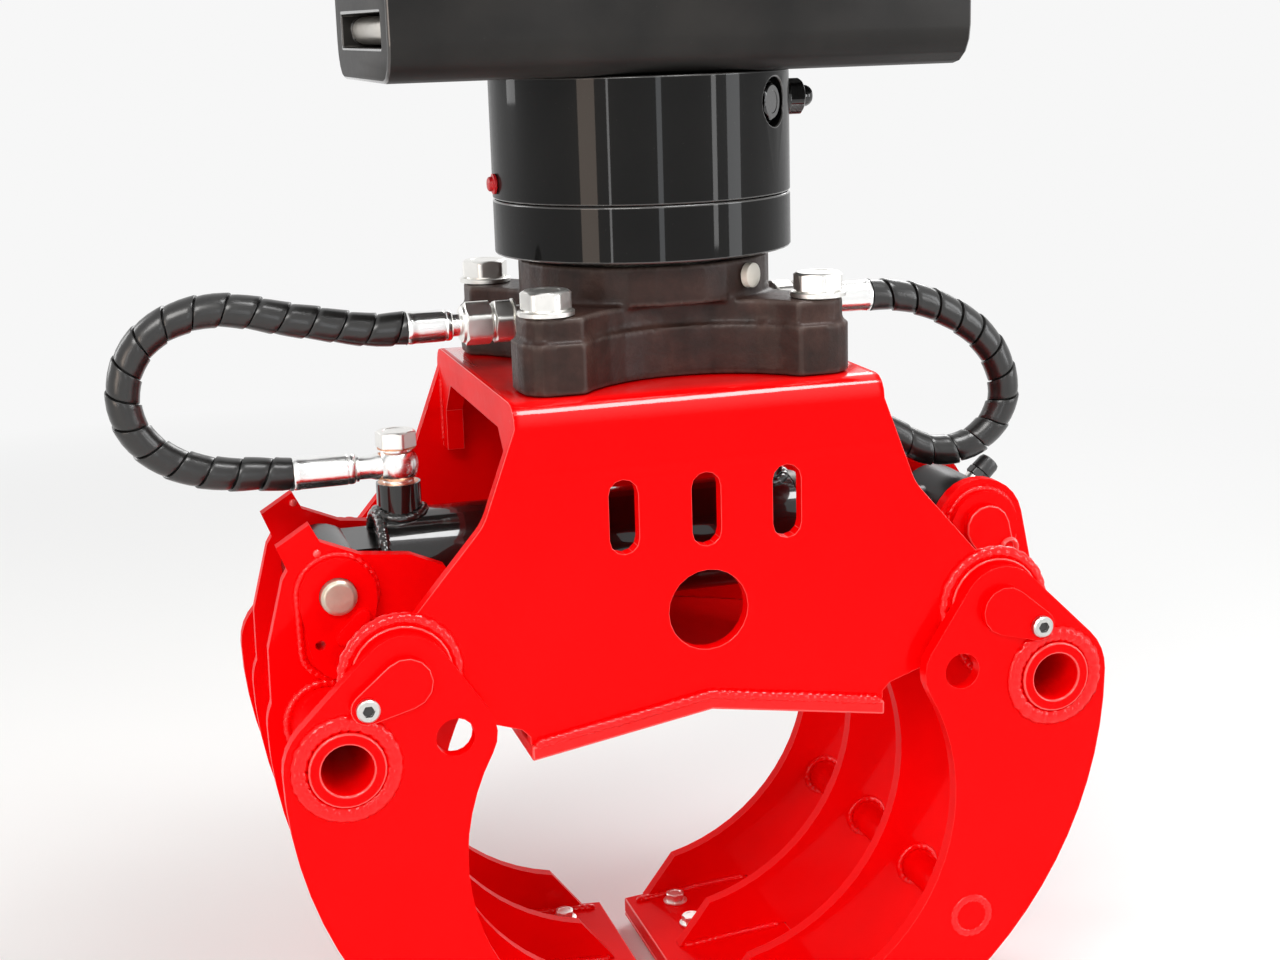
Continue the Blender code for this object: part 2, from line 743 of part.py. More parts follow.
def frame_channel():
    """The folded frame: an inverted channel trimmed to its outline, with end ribs and weld nuts."""
    top, inside = FRAME_TOP, FRAME_TOP - PLATE
    foot = FRAME_TOP - BOTTOM_END_DROP - PLATE
    outer = arc((FRAME_FACE - FOLD_R, top - FOLD_R), FOLD_R, 0, math.pi / 2, 4)
    inner = arc((FRAME_INSIDE - FOLD_R + PLATE, inside - FOLD_R + PLATE), FOLD_R - PLATE, math.pi / 2, 0, 2)
    half = [(FRAME_FACE, foot), *outer]
    half_inside = [*inner, (FRAME_INSIDE, foot)]
    section = half + [(-y, z) for y, z in reversed(half)]
    section += [(-y, z) for y, z in reversed(half_inside)] + half_inside
    width = PIVOT_X + FRAME_NOSE_R + PLATE
    channel = plate("frame_channel", [section], -width, width, "X")
    holes = [circle((side * PIVOT_X, PIVOT_Z), BOSS_SPIGOT_R + RUN, 24) for side in (-1, 1)]
    for step in (-1, 0, 1):
        holes.append(obround((step * SLOT_PITCH, top - SLOT_DROP), SLOT_WIDTH, SLOT_LENGTH))
    holes.append(circle((0, top - ROUND_HOLE_DROP), ROUND_HOLE_R, 24))
    trim = plate("frame_trim", [frame_outline(), *holes], -FRAME_DEPTH, FRAME_DEPTH)
    combine(channel, "INTERSECT", trim)
    for side in (-1, 1):
        low, high = sorted((side * FRAME_TOP_HALF, side * (FRAME_TOP_HALF - RIB_PLATE)))
        combine(channel, "UNION", plate("end_rib", [rib_outline()], low, high, "X"))
    for x, y in bolt_places():
        nut = hexagon("weld_nut", BOLT_HEAD_R, inside - NUT_HEIGHT, inside + WELD_BITE, (x, y, 0))
        combine(channel, "UNION", nut)
        hole = cylinder("bolt_hole", BOLT_R + RUN, inside - 2 * NUT_HEIGHT, top + PLATE, (x, y, 0), steps=16)
        combine(channel, "DIFFERENCE", hole)
    return finish(channel, "red_paint")


def rib_outline():
    """The inverted U of each end rib, welded inside the channel."""
    edge = FRAME_INSIDE + WELD_BITE
    high = FRAME_TOP - PLATE + WELD_BITE
    lintel = FRAME_TOP - PLATE - RIB_LINTEL
    low = FRAME_TOP - RIB_LEG_DROP
    inner = FRAME_INSIDE - RIB_LEG
    corner = FOLD_R - PLATE
    half = [
        (edge, high - corner),
        (edge - corner, high),
    ]
    back = [
        (inner - RIB_CHAMFER, lintel),
        (inner, lintel - RIB_CHAMFER),
        (inner, low),
        (edge, low),
    ]
    left = [(-y, z) for y, z in reversed(half)]
    left_back = [(-y, z) for y, z in reversed(back)]
    return half + left + left_back + back


def frame_bottom_plate():
    """The bent plate that closes the frame from below and stands out as a lip."""
    peak = FRAME_TOP - BOTTOM_PEAK_DROP
    end = FRAME_TOP - BOTTOM_END_DROP
    t = BOTTOM_PLATE / 2
    middle = [(SKIRT_X, end), (0, peak), (-SKIRT_X, end)]
    outline = [(x, z + t) for x, z in middle] + [(x, z - t) for x, z in reversed(middle)]
    reach = FRAME_FACE + BOTTOM_LIP
    return finish(plate("frame_bottom_plate", [outline], -reach, reach), "red_paint")


def pivot_bosses():
    """The flanged tubes in the frame's four corners that the jaws' pins run in."""
    for side, side_name in ((-1, "left"), (1, "right")):
        for towards, face_name in (("-Y", "front"), ("+Y", "rear")):
            bore = PIN_R + RUN
            seat = FRAME_FACE + GAP
            end = FRAME_INSIDE - BOSS_REACH
            outline = [
                (bore, BOSS_FACE),
                (BOSS_R, BOSS_FACE),
                (BOSS_R, seat),
                (BOSS_SPIGOT_R, seat),
                (BOSS_SPIGOT_R, end),
                (bore, end),
            ]
            at = (side * PIVOT_X, 0, PIVOT_Z)
            boss = turned(f"pivot_boss_{side_name}_{face_name}", outline, at, towards, 28, ring=True)
            finish(boss, "red_paint")


# Jaws


def edge_line(out, offset=0.0):
    """Height, from the pivot, of the edge plate's top face at a place measured outward."""
    tip = TIP_GAP / 2 - PIVOT_X
    return -TIP_DROP + offset + (out - tip) * math.tan(EDGE_SLOPE)


def back_arc():
    """The centre of the jaw's back, which runs from its shoulder to the edge plate's lower corner."""
    _, shoulder, _, _ = jaw_circles()
    notch = TIP_GAP / 2 - PIVOT_X + EDGE_LENGTH + GAP
    corner = (notch, edge_line(notch, -EDGE_PLATE))
    return meeting(shoulder[:2], BACK_ARC_R - SHOULDER_R, corner, BACK_ARC_R), corner


def belly_arc():
    """The centre of the jaw's belly, which runs from its heel to its elbow."""
    heel = TIP_GAP / 2 - PIVOT_X + HEEL_SETBACK
    foot = (heel + HEEL_LENGTH, edge_line(heel) + HEEL_RISE)
    elbow = jaw_circles()[2]
    return meeting(elbow[:2], ELBOW_R + BELLY_ARC_R, foot, BELLY_ARC_R), foot, heel


def elbow_start():
    """The angle on the elbow at which the belly meets it."""
    elbow = jaw_circles()[2]
    return bearing(elbow[:2], belly_arc()[0]) % (2 * math.pi)


def cross_bar_place():
    """The thin bar's place, at a set distance behind the belly's edge."""
    middle = belly_arc()[0]
    rise = -CROSS_BAR_DOWN - middle[1]
    return middle[0] + math.sqrt((BELLY_ARC_R + CROSS_BAR_SET) ** 2 - rise**2), -CROSS_BAR_DOWN


def jaw_rib_foot(start):
    """Points of every jaw plate from an angle on its back, round the edge plate, to the belly arc."""
    elbow = jaw_circles()[2]
    centre, corner = back_arc()
    back = arc(centre, BACK_ARC_R, start, bearing(centre, corner), 16)
    middle, foot, heel = belly_arc()
    belly = arc(middle, BELLY_ARC_R, bearing(middle, foot), bearing(middle, elbow[:2]), 20)
    notch = corner[0]
    return back + [(notch, edge_line(notch, GAP)), (heel, edge_line(heel, GAP))] + belly


def jaw_circles():
    """The circles that the jaw plates' edges wrap: pivot head, shoulder, elbow and lever head."""
    head = (0, 0, HEAD_R)
    shoulder = (TUBE_OUT, -TUBE_DOWN, SHOULDER_R)
    elbow = (-MID_HOLE_IN, -MID_HOLE_DOWN, ELBOW_R)
    lever = (LEVER_OUT, LEVER_UP, LEVER_HEAD_R)
    return head, shoulder, elbow, lever


def wrapped_edge(top, steps):
    """The edge of a jaw plate with a round head, which a straight side joins to the shoulder, or
    straight to the back where the back reaches past the shoulder."""
    _, shoulder, elbow, _ = jaw_circles()
    rise = flank(elbow, top)
    fall = flank(top, shoulder)
    centre = back_arc()[0]
    level = bearing(centre, shoulder[:2])
    corner = arc(shoulder[:2], shoulder[2], fall, level, 4)[:-1]
    if fall < level:
        corner = []
        fall = level = flank(top, (*centre, BACK_ARC_R))
    return [
        *arc(elbow[:2], elbow[2], elbow_start(), rise, 4)[1:],
        *arc(top[:2], top[2], rise, fall, steps),
        *corner,
        *jaw_rib_foot(level),
    ]


def horned_edge():
    """The edge of the left lever plates: a broad top with a square horn at the outer corner."""
    _, shoulder, elbow, _ = jaw_circles()
    level = bearing(back_arc()[0], shoulder[:2])
    return [
        *arc(elbow[:2], elbow[2], elbow_start(), math.radians(150), 3)[1:],
        *[(LEVER_OUT + out, LEVER_UP + up) for out, up in HORN_EDGE],
        *arc(shoulder[:2], shoulder[2], math.radians(25), level, 3)[:-1],
        *jaw_rib_foot(level),
    ]


def jaw_holes(places, side):
    """Round holes in a jaw plate, from (outward, up, radius) rows."""
    loops = []
    for out, up, radius in places:
        steps = 28 if radius > PIN_R + 2 * RUN else 18
        loops.append(circle(place([(out, up)], side)[0], radius, steps))
    return loops


def outer_plates(side, name):
    """The jaw's two outside plates, with the pivot, tube, bar and screw holes."""
    head = jaw_circles()[0]
    edge = place(wrapped_edge(head, 8), side)
    holes = jaw_holes(
        [
            (0, 0, PIN_R + RUN),
            (TUBE_OUT, -TUBE_DOWN, TUBE_R + RUN),
            (-MID_HOLE_IN, -MID_HOLE_DOWN, MID_HOLE_R),
            (*cross_bar_place(), CROSS_BAR_R + RUN),
            (FLAG_SCREW_OUT, -FLAG_SCREW_DOWN, SCREW_R + RUN),
        ],
        side,
    )
    for low, high, face in ((-JAW_FACE, -JAW_INSIDE, "front"), (JAW_INSIDE, JAW_FACE, "rear")):
        finish(plate(f"{name}_jaw_outer_plate_{face}", [edge, *holes], low, high), "red_paint")


def lever_plates(side, name):
    """The jaw's two inside plates, which rise to the cylinder pin and carry a welded doubler."""
    lever = jaw_circles()[3]
    edge = place(horned_edge() if side < 0 else wrapped_edge(lever, 10), side)
    pin = (LEVER_OUT, LEVER_UP, PIN_R + RUN)
    bar = (*cross_bar_place(), CROSS_BAR_R + RUN)
    tube = (TUBE_OUT, -TUBE_DOWN, TUBE_R + RUN)
    upper = (LEVER_OUT, LEVER_UP, DOUBLER_HEAD_R)
    lower = (LEVER_OUT, LEVER_UP - DOUBLER_LENGTH, DOUBLER_FOOT_R)
    doubler_edge = place(capsule(upper, lower, 8), side)
    for sign, face in ((-1, "front"), (1, "rear")):
        low, high = sorted((sign * LEVER_INSIDE, sign * (LEVER_INSIDE + PLATE)))
        rib = plate(
            f"{name}_jaw_lever_plate_{face}", [edge, *jaw_holes([pin, bar, tube], side)], low, high
        )
        low, high = sorted((sign * (LEVER_INSIDE + PLATE - WELD_BITE), sign * LEVER_OUTSIDE))
        doubler = plate("doubler", [doubler_edge, *jaw_holes([pin], side)], low, high)
        combine(rib, "UNION", doubler)
        finish(rib, "red_paint")


def jaw_tubes(side, name):
    """The open torsion tube through all four plates and the thin bar lower down."""
    reach = JAW_FACE + TUBE_PROUD
    bore = TUBE_R - TUBE_WALL
    x, z = place([(TUBE_OUT, -TUBE_DOWN)], side)[0]
    outline = [(TUBE_R, reach), (TUBE_R, -reach), (bore, -reach), (bore, reach)]
    tube = turned(f"{name}_jaw_torsion_tube", outline, (x, 0, z), "+Y", 28, ring=True)
    finish(tube, "red_paint")
    x, z = place([cross_bar_place()], side)[0]
    bar = cylinder(f"{name}_jaw_cross_bar", CROSS_BAR_R, -JAW_FACE, JAW_FACE, (x, 0, z), "+Y", 18)
    finish(bar, "red_paint")


def jaw_edges(side, name):
    """The edge plate that the ribs stand on and the bevelled knife under it."""
    tip = TIP_GAP / 2 - PIVOT_X
    end = tip + EDGE_LENGTH
    under = -EDGE_PLATE
    shell = [(tip, edge_line(tip)), (end, edge_line(end)), (end, edge_line(end, under))]
    shell.append((tip, edge_line(tip, under)))
    edge = plate(f"{name}_jaw_edge_plate", [place(shell, side)], -JAW_FACE, JAW_FACE)
    finish(edge, "red_paint")
    top = under - GAP
    low = top - KNIFE_PLATE
    back = tip + KNIFE_LENGTH
    shape = [
        (tip, edge_line(tip, top)),
        (back, edge_line(back, top)),
        (back, edge_line(back, low)),
        (tip + KNIFE_BEVEL, edge_line(tip + KNIFE_BEVEL, low)),
        (tip, edge_line(tip, top - KNIFE_PLATE / 4)),
    ]
    knife = plate(f"{name}_jaw_knife", [place(shape, side)], -JAW_FACE, JAW_FACE)
    finish(knife, "red_paint")


def pin_profile(head_face, tail_face, chamfer=PIN_CHAMFER):
    """A plain pin from tail to head along its axis, chamfered at the tail."""
    return [
        (0, head_face),
        (PIN_R, head_face),
        (PIN_R, tail_face + chamfer),
        (PIN_R - chamfer, tail_face),
        (0, tail_face),
    ]


def flag_plate(side, pivot, screw, face, towards, hole):
    """The teardrop plate welded on a pin's head, with the hole for its screw where it has one."""
    outline = capsule((*pivot, FLAG_R), (*screw, FLAG_TAIL_R), 8)
    loops = [place(outline, side)]
    if hole:
        loops += jaw_holes([(*screw, SCREW_R + RUN)], side)
    sign = -1 if towards == "-Y" else 1
    low, high = sorted((sign * face, sign * (face + FLAG_PLATE)))
    return plate("flag", loops, low, high)


def pivot_pins(side, name):
    """Four-part pivots: each stub pin has a flag that one screw holds to the outer plate."""
    screw = (FLAG_SCREW_OUT, -FLAG_SCREW_DOWN)
    x, z = place([(0, 0)], side)[0]
    sx, sz = place([screw], side)[0]
    face = JAW_FACE + GAP
    for towards, face_name in (("-Y", "front"), ("+Y", "rear")):
        profile = pin_profile(face + WELD_BITE, FRAME_INSIDE - BOSS_REACH)
        pin = turned(f"{name}_jaw_pivot_pin_{face_name}", profile, (x, 0, z), towards, 20)
        combine(pin, "UNION", flag_plate(side, (0, 0), screw, face, towards, True))
        finish(pin, "red_paint")
        head = face + FLAG_PLATE + GAP
        profile = [
            (0, head + SCREW_HEAD),
            (SCREW_HEAD_R * 0.8, head + SCREW_HEAD),
            (SCREW_HEAD_R, head + SCREW_HEAD * 0.5),
            (SCREW_HEAD_R, head),
            (SCREW_R, head),
            (SCREW_R, JAW_INSIDE),
            (0, JAW_INSIDE),
        ]
        bolt = turned(f"{name}_jaw_pin_screw_{face_name}", profile, (sx, 0, sz), towards, 14)
        finish(bolt, "zinc")


def cylinder_pin(side, name):
    """The pin that joins the levers to the cylinder: its flag is at the rear on the left jaw."""
    towards = "+Y" if side < 0 else "-Y"
    tail = (LEVER_OUT + PIN_TAIL_OUT, LEVER_UP - PIN_TAIL_DOWN)
    x, z = place([(LEVER_OUT, LEVER_UP)], side)[0]
    face = LEVER_OUTSIDE + GAP
    profile = pin_profile(face + WELD_BITE, -LEVER_OUTSIDE - PIN_PROUD)
    pin = turned(f"{name}_jaw_cylinder_pin", profile, (x, 0, z), towards, 20)
    combine(pin, "UNION", flag_plate(side, (LEVER_OUT, LEVER_UP), tail, face, towards, False))
    finish(pin, "steel" if side < 0 else "red_paint")


# Cylinder


def cylinder_barrel():
    """The barrel with its welded base, tang and eye, and a port boss near each end."""
    axis = (0, 0, LEVER_Z)
    outline = [
        (0, BORE_LEFT),
        (BARREL_BORE_R, BORE_LEFT),
        (BARREL_BORE_R, BARREL_RIGHT),
        (BARREL_R, BARREL_RIGHT),
        (BARREL_R, BARREL_LEFT + PIN_CHAMFER),
        (BARREL_R - PIN_CHAMFER, BARREL_LEFT),
        (0, BARREL_LEFT),
    ]
    barrel = turned("cylinder_barrel", outline, axis, "+X", 32)
    tang_end = BARREL_LEFT + WELD_BITE
    tang_size = (tang_end + LEVER_X, EYE_WIDTH, TANG_HEIGHT)
    tang = block("tang", tang_size, ((tang_end - LEVER_X) / 2, 0, LEVER_Z))
    half = EYE_WIDTH / 2
    eye = cylinder("eye", EYE_R, -half - WELD_BITE, half + WELD_BITE, (-LEVER_X, 0, LEVER_Z), "+Y", 28)
    combine(barrel, "UNION", tang, eye)
    for x in (BASE_PORT_X, ROD_PORT_X):
        root = LEVER_Z + BARREL_R - PLATE / 2
        combine(barrel, "UNION", cylinder("port_boss", PORT_R, root, PORT_TOP, (x, 0, 0), steps=18))
        floor = PORT_TOP - BANJO_BOLT_DEPTH - GAP
        drill = cylinder("port_drill", BANJO_BOLT_R + RUN, floor, PORT_TOP + PLATE, (x, 0, 0), steps=14)
        combine(barrel, "DIFFERENCE", drill)
    bore = cylinder("eye_bore", PIN_R + RUN, -EYE_WIDTH, EYE_WIDTH, (-LEVER_X, 0, LEVER_Z), "+Y", 20)
    combine(barrel, "DIFFERENCE", bore)
    return finish(barrel, "black_paint")


def cylinder_gland():
    """The flanged gland that guides the rod at the barrel's right end."""
    bore = ROD_R + RUN
    nose_r = BARREL_BORE_R - RUN
    seat = BARREL_RIGHT + GAP
    outline = [
        (bore, GLAND_RIGHT),
        (BARREL_R - PIN_CHAMFER, GLAND_RIGHT),
        (BARREL_R, GLAND_RIGHT - PIN_CHAMFER),
        (BARREL_R, seat),
        (nose_r, seat),
        (nose_r, GLAND_LEFT),
        (bore, GLAND_LEFT),
    ]
    return finish(turned("cylinder_gland", outline, (0, 0, LEVER_Z), "+X", 28, ring=True), "steel")


def piston():
    """The piston on the rod's turned-down end."""
    outer = BARREL_BORE_R - RUN
    bore = PISTON_HOLE_R + RUN
    low = PISTON_RIGHT - PISTON_LENGTH
    outline = [(outer, PISTON_RIGHT), (outer, low), (bore, low), (bore, PISTON_RIGHT)]
    return finish(turned("cylinder_piston", outline, (0, 0, LEVER_Z), "+X", 28, ring=True), "steel")


def piston_rod():
    """The chromed rod with its welded eye, which has play round the right lever pin."""
    axis = (0, 0, LEVER_Z)
    stub = PISTON_RIGHT - PISTON_LENGTH
    outline = [
        (0, ROD_EYE_LEFT + EYE_R / 2),
        (ROD_R, ROD_EYE_LEFT + EYE_R / 2),
        (ROD_R, PISTON_RIGHT + GAP),
        (PISTON_HOLE_R, PISTON_RIGHT + GAP),
        (PISTON_HOLE_R, stub),
        (0, stub),
    ]
    rod = turned("cylinder_rod", outline, axis, "+X", 24)
    half = EYE_WIDTH / 2
    eye = cylinder("rod_eye", EYE_R, -half, half, (LEVER_X, 0, LEVER_Z), "+Y", 28)
    combine(rod, "UNION", eye)
    bore = cylinder("rod_bore", PIN_R + EYE_PLAY, -EYE_WIDTH, EYE_WIDTH, (LEVER_X, 0, LEVER_Z), "+Y", 24)
    combine(rod, "DIFFERENCE", bore)
    return finish(rod, "chrome")


# Fittings and hoses


def top_fittings(side, name):
    """A port adapter in the flange's side and the swivel nut and ferrule of the hose on it."""
    towards = "-X" if side < 0 else "+X"
    at = (0, 0, PORT_Z)
    stem = FLANGE_WAIST - ADAPTER_THREAD
    hex_start = FLANGE_WAIST + ADAPTER_STEM
    hex_end = hex_start + ADAPTER_HEX_LENGTH
    outline = [
        (0, hex_start + WELD_BITE),
        (ADAPTER_R, hex_start + WELD_BITE),
        (ADAPTER_R, FLANGE_WAIST + GAP),
        (ADAPTER_THREAD_R, FLANGE_WAIST + GAP),
        (ADAPTER_THREAD_R, stem),
        (0, stem),
    ]
    adapter = turned(f"port_adapter_{name}", outline, at, towards, 16)
    combine(adapter, "UNION", hexagon("adapter_hex", NUT_R, hex_start, hex_end, at, towards))
    finish(adapter, "zinc")
    nut_end = hex_end + GAP + NUT_LENGTH
    ferrule = nut_end + NECK_LENGTH
    outline = [
        (0, ferrule + FERRULE_LENGTH),
        (FERRULE_R, ferrule + FERRULE_LENGTH),
        (FERRULE_R, ferrule),
        (NECK_R, ferrule),
        (NECK_R, nut_end - WELD_BITE),
        (0, nut_end - WELD_BITE),
    ]
    fitting = turned(f"hose_fitting_top_{name}", outline, at, towards, 16)
    combine(fitting, "UNION", hexagon("swivel_nut", NUT_R, hex_end + GAP, nut_end, at, towards))
    finish(fitting, "zinc")


def hose_start_x():
    """Distance from the rotator axis to the mouth of the upper ferrules."""
    nut_end = FLANGE_WAIST + ADAPTER_STEM + ADAPTER_HEX_LENGTH + GAP + NUT_LENGTH
    return nut_end + NECK_LENGTH + FERRULE_LENGTH


def lower_fittings(x, side, name):
    """A banjo with its ferrule on the cylinder's port and the hollow bolt that holds it down."""
    towards = "-X" if side < 0 else "+X"
    low = PORT_TOP + GAP
    high = low + BANJO_HEIGHT
    bore = BANJO_BOLT_R + RUN
    at = (x, 0, BANJO_Z)
    ferrule = BANJO_R + BANJO_NECK
    outline = [
        (0, ferrule + LOWER_FERRULE_LENGTH),
        (FERRULE_R, ferrule + LOWER_FERRULE_LENGTH),
        (FERRULE_R, ferrule),
        (NECK_R, ferrule),
        (NECK_R, bore),
        (0, bore),
    ]
    fitting = turned(f"hose_fitting_lower_{name}", outline, at, towards, 16)
    waist = BANJO_R * 0.85
    profile = [(0, high), (waist, high), (BANJO_R, BANJO_Z), (waist, low), (0, low)]
    ball = turned("banjo_ball", profile, (x, 0, 0), steps=18)
    combine(fitting, "UNION", ball)
    hole = cylinder("banjo_hole", bore, low - PLATE, high + PLATE, (x, 0, 0), steps=14)
    combine(fitting, "DIFFERENCE", hole)
    finish(fitting, "zinc")
    head = high + GAP
    bolt = cylinder(f"banjo_bolt_{name}", BANJO_BOLT_R, PORT_TOP - BANJO_BOLT_DEPTH, head + WELD_BITE,
                    (x, 0, 0), steps=14)
    combine(bolt, "UNION", hexagon("banjo_head", BANJO_HEAD_R, head, head + BANJO_HEAD, (x, 0, 0)))
    finish(bolt, "zinc")


def lower_hose_x(port_x, side):
    """Place along X of a lower ferrule's mouth."""
    return port_x + side * (BANJO_R + BANJO_NECK + LOWER_FERRULE_LENGTH)


# Routes of the hoses between their two ferrules, as (x, height over the pivots) chosen by hand
LEFT_ROUTE = [
    (-0.153, 0.161),
    (-0.168, 0.1635),
    (-0.184, 0.167),
    (-0.201, 0.1705),
    (-0.218, 0.175),
    (-0.235, 0.1775),
    (-0.251, 0.176),
    (-0.267, 0.170),
    (-0.2795, 0.159),
    (-0.2865, 0.144),
    (-0.2875, 0.128),
    (-0.282, 0.113),
    (-0.270, 0.1005),
    (-0.254, 0.0925),
    (-0.237, 0.0885),
    (-0.220, 0.0872),
]
RIGHT_ROUTE = [
    (0.155, 0.1593),
    (0.171, 0.155),
    (0.187, 0.1475),
    (0.2035, 0.1365),
    (0.216, 0.122),
    (0.2225, 0.106),
    (0.223, 0.092),
    (0.216, 0.0775),
    (0.203, 0.0675),
    (0.188, 0.064),
    (0.172, 0.066),
    (0.158, 0.073),
    (0.1445, 0.081),
]


def hoses():
    """The two guarded hoses, each a loop from the flange's port to the cylinder's port."""
    for side, name, route, port_x in (
        (-1, "left", LEFT_ROUTE, BASE_PORT_X),
        (1, "right", RIGHT_ROUTE, ROD_PORT_X),
    ):
        start_x = side * (hose_start_x() + GAP)
        end_x = lower_hose_x(port_x, side) + side * GAP
        lead = side * HOSE_R
        points = [
            (start_x, 0, PORT_Z),
            (start_x + lead / 2, 0, PORT_Z),
            *[(x, 0, PIVOT_Z + z) for x, z in route],
            (end_x + lead / 2, 0, BANJO_Z),
            (end_x, 0, BANJO_Z),
        ]
        finish(tube_along(f"hose_{name}", points, HOSE_R), "hose_rubber")


def build():
    """Makes every piece of the grapple."""
    hanger_beam()
    rotator_housing()
    rotator_plugs()
    rotator_end_cover()
    rotator_bearing()
    rotator_seal()
    rotor_shaft()
    rotator_flange()
    flange_bolts()
    frame_channel()
    frame_bottom_plate()
    pivot_bosses()
    for side, name in ((-1, "left"), (1, "right")):
        outer_plates(side, name)
        lever_plates(side, name)
        jaw_tubes(side, name)
        jaw_edges(side, name)
        pivot_pins(side, name)
        cylinder_pin(side, name)
        top_fittings(side, name)
    cylinder_barrel()
    cylinder_gland()
    piston()
    piston_rod()
    lower_fittings(BASE_PORT_X, -1, "left")
    lower_fittings(ROD_PORT_X, 1, "right")
    hoses()


build()
for guide in CUTTERS.objects:
    guide.hide_render = True
    guide.display_type = "WIRE"
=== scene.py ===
"""Looks of a sorting grapple for an excavator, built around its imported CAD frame.

Everything is in metres in the part's own frame: X runs to the right along the cylinder,
Y goes away from the viewer and Z points up, with the mounting face of the beam at Z = 0.
"""

import math

import bmesh
import bpy
import numpy as np
from mathutils import Matrix, Vector


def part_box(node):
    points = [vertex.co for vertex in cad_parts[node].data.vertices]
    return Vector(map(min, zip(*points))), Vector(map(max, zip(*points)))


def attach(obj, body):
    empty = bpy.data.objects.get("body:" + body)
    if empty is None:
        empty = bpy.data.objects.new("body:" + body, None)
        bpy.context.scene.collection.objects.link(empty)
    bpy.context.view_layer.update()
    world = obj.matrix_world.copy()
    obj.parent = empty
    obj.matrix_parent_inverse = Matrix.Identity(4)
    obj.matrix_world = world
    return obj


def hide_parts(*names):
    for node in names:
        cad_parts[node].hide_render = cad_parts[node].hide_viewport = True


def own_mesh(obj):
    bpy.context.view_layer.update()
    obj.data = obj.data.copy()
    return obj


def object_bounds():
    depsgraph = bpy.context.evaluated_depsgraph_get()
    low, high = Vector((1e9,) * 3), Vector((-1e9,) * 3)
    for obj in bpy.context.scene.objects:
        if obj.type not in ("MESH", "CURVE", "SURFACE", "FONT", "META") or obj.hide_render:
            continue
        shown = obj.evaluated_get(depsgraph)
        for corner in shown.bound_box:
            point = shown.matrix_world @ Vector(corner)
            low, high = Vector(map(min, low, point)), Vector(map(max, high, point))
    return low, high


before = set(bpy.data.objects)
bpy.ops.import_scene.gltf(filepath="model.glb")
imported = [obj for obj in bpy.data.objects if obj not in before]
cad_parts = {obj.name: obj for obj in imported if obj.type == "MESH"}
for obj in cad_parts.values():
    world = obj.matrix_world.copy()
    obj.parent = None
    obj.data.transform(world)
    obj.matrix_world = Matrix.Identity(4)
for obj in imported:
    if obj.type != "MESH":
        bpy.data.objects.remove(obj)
cad_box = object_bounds()
scene = bpy.context.scene

# Sizes that repeat the CAD frame's
PIVOT_X, PIVOT_Z = 0.1655, -0.388
LEVER_X, LEVER_Z = 0.188, -0.360
TUBE_X, TUBE_Z, TUBE_R = 0.1975, -0.4305, 0.020
bar_low, bar_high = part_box("right_jaw_cross_bar")
BAR_X, BAR_Z, BAR_R = (bar_low.x + bar_high.x) / 2, (bar_low.z + bar_high.z) / 2, 0.010
FRAME_FACE, FRAME_INSIDE = 0.1045, 0.0965
JAW_INSIDE, JAW_FACE = 0.1094, 0.1174
LEVER_INSIDE, LEVER_FACE = 0.035, 0.043
PORT_Z, BANJO_Z = -0.2272, -0.30245
CROSS_PIN_R, BEAM_PIN_Z = 0.007, -0.069
FLOOR_Z = cad_box[0].z

UP = (0, 0, 1)
SIDES = (("left", -1), ("right", 1))
ENDS = (("front", -1), ("rear", 1))


def linked(name, data):
    """A new object with this data, in the scene."""
    made = bpy.data.objects.new(name, data)
    scene.collection.objects.link(made)
    return made


# Camera
AZIMUTH, ELEVATION, ROLL = math.radians(16.1), math.radians(13.3), math.radians(-1.72)
CAMERA_PLACE = Vector((-0.3061, -1.0407, -0.0686))
LENS_MM, SENSOR_MM = 54.5, 36.0


def make_camera():
    back = Vector((-math.sin(AZIMUTH) * math.cos(ELEVATION),
                   -math.cos(AZIMUTH) * math.cos(ELEVATION), math.sin(ELEVATION)))
    right = (-back).cross(Vector(UP)).normalized()
    up = right.cross(-back)
    turned_right = right * math.cos(ROLL) + up * math.sin(ROLL)
    turned_up = up * math.cos(ROLL) - right * math.sin(ROLL)
    data = bpy.data.cameras.new("camera")
    data.lens, data.sensor_width = LENS_MM, SENSOR_MM
    data.clip_start, data.clip_end = 0.05, 60.0
    camera = linked("camera", data)
    place = Matrix((turned_right, turned_up, back)).transposed().to_4x4()
    place.translation = CAMERA_PLACE
    camera.matrix_world = place
    scene.camera = camera


make_camera()


# Materials
def put(socket, value):
    """A socket takes a value or another node's output."""
    if hasattr(value, "is_output"):
        socket.id_data.links.new(value, socket)
    else:
        socket.default_value = value


def new_node(tree, kind, **sockets):
    made = tree.nodes.new("ShaderNode" + kind)
    for name, value in sockets.items():
        put(made.inputs[name.replace("_", " ")], value)
    return made


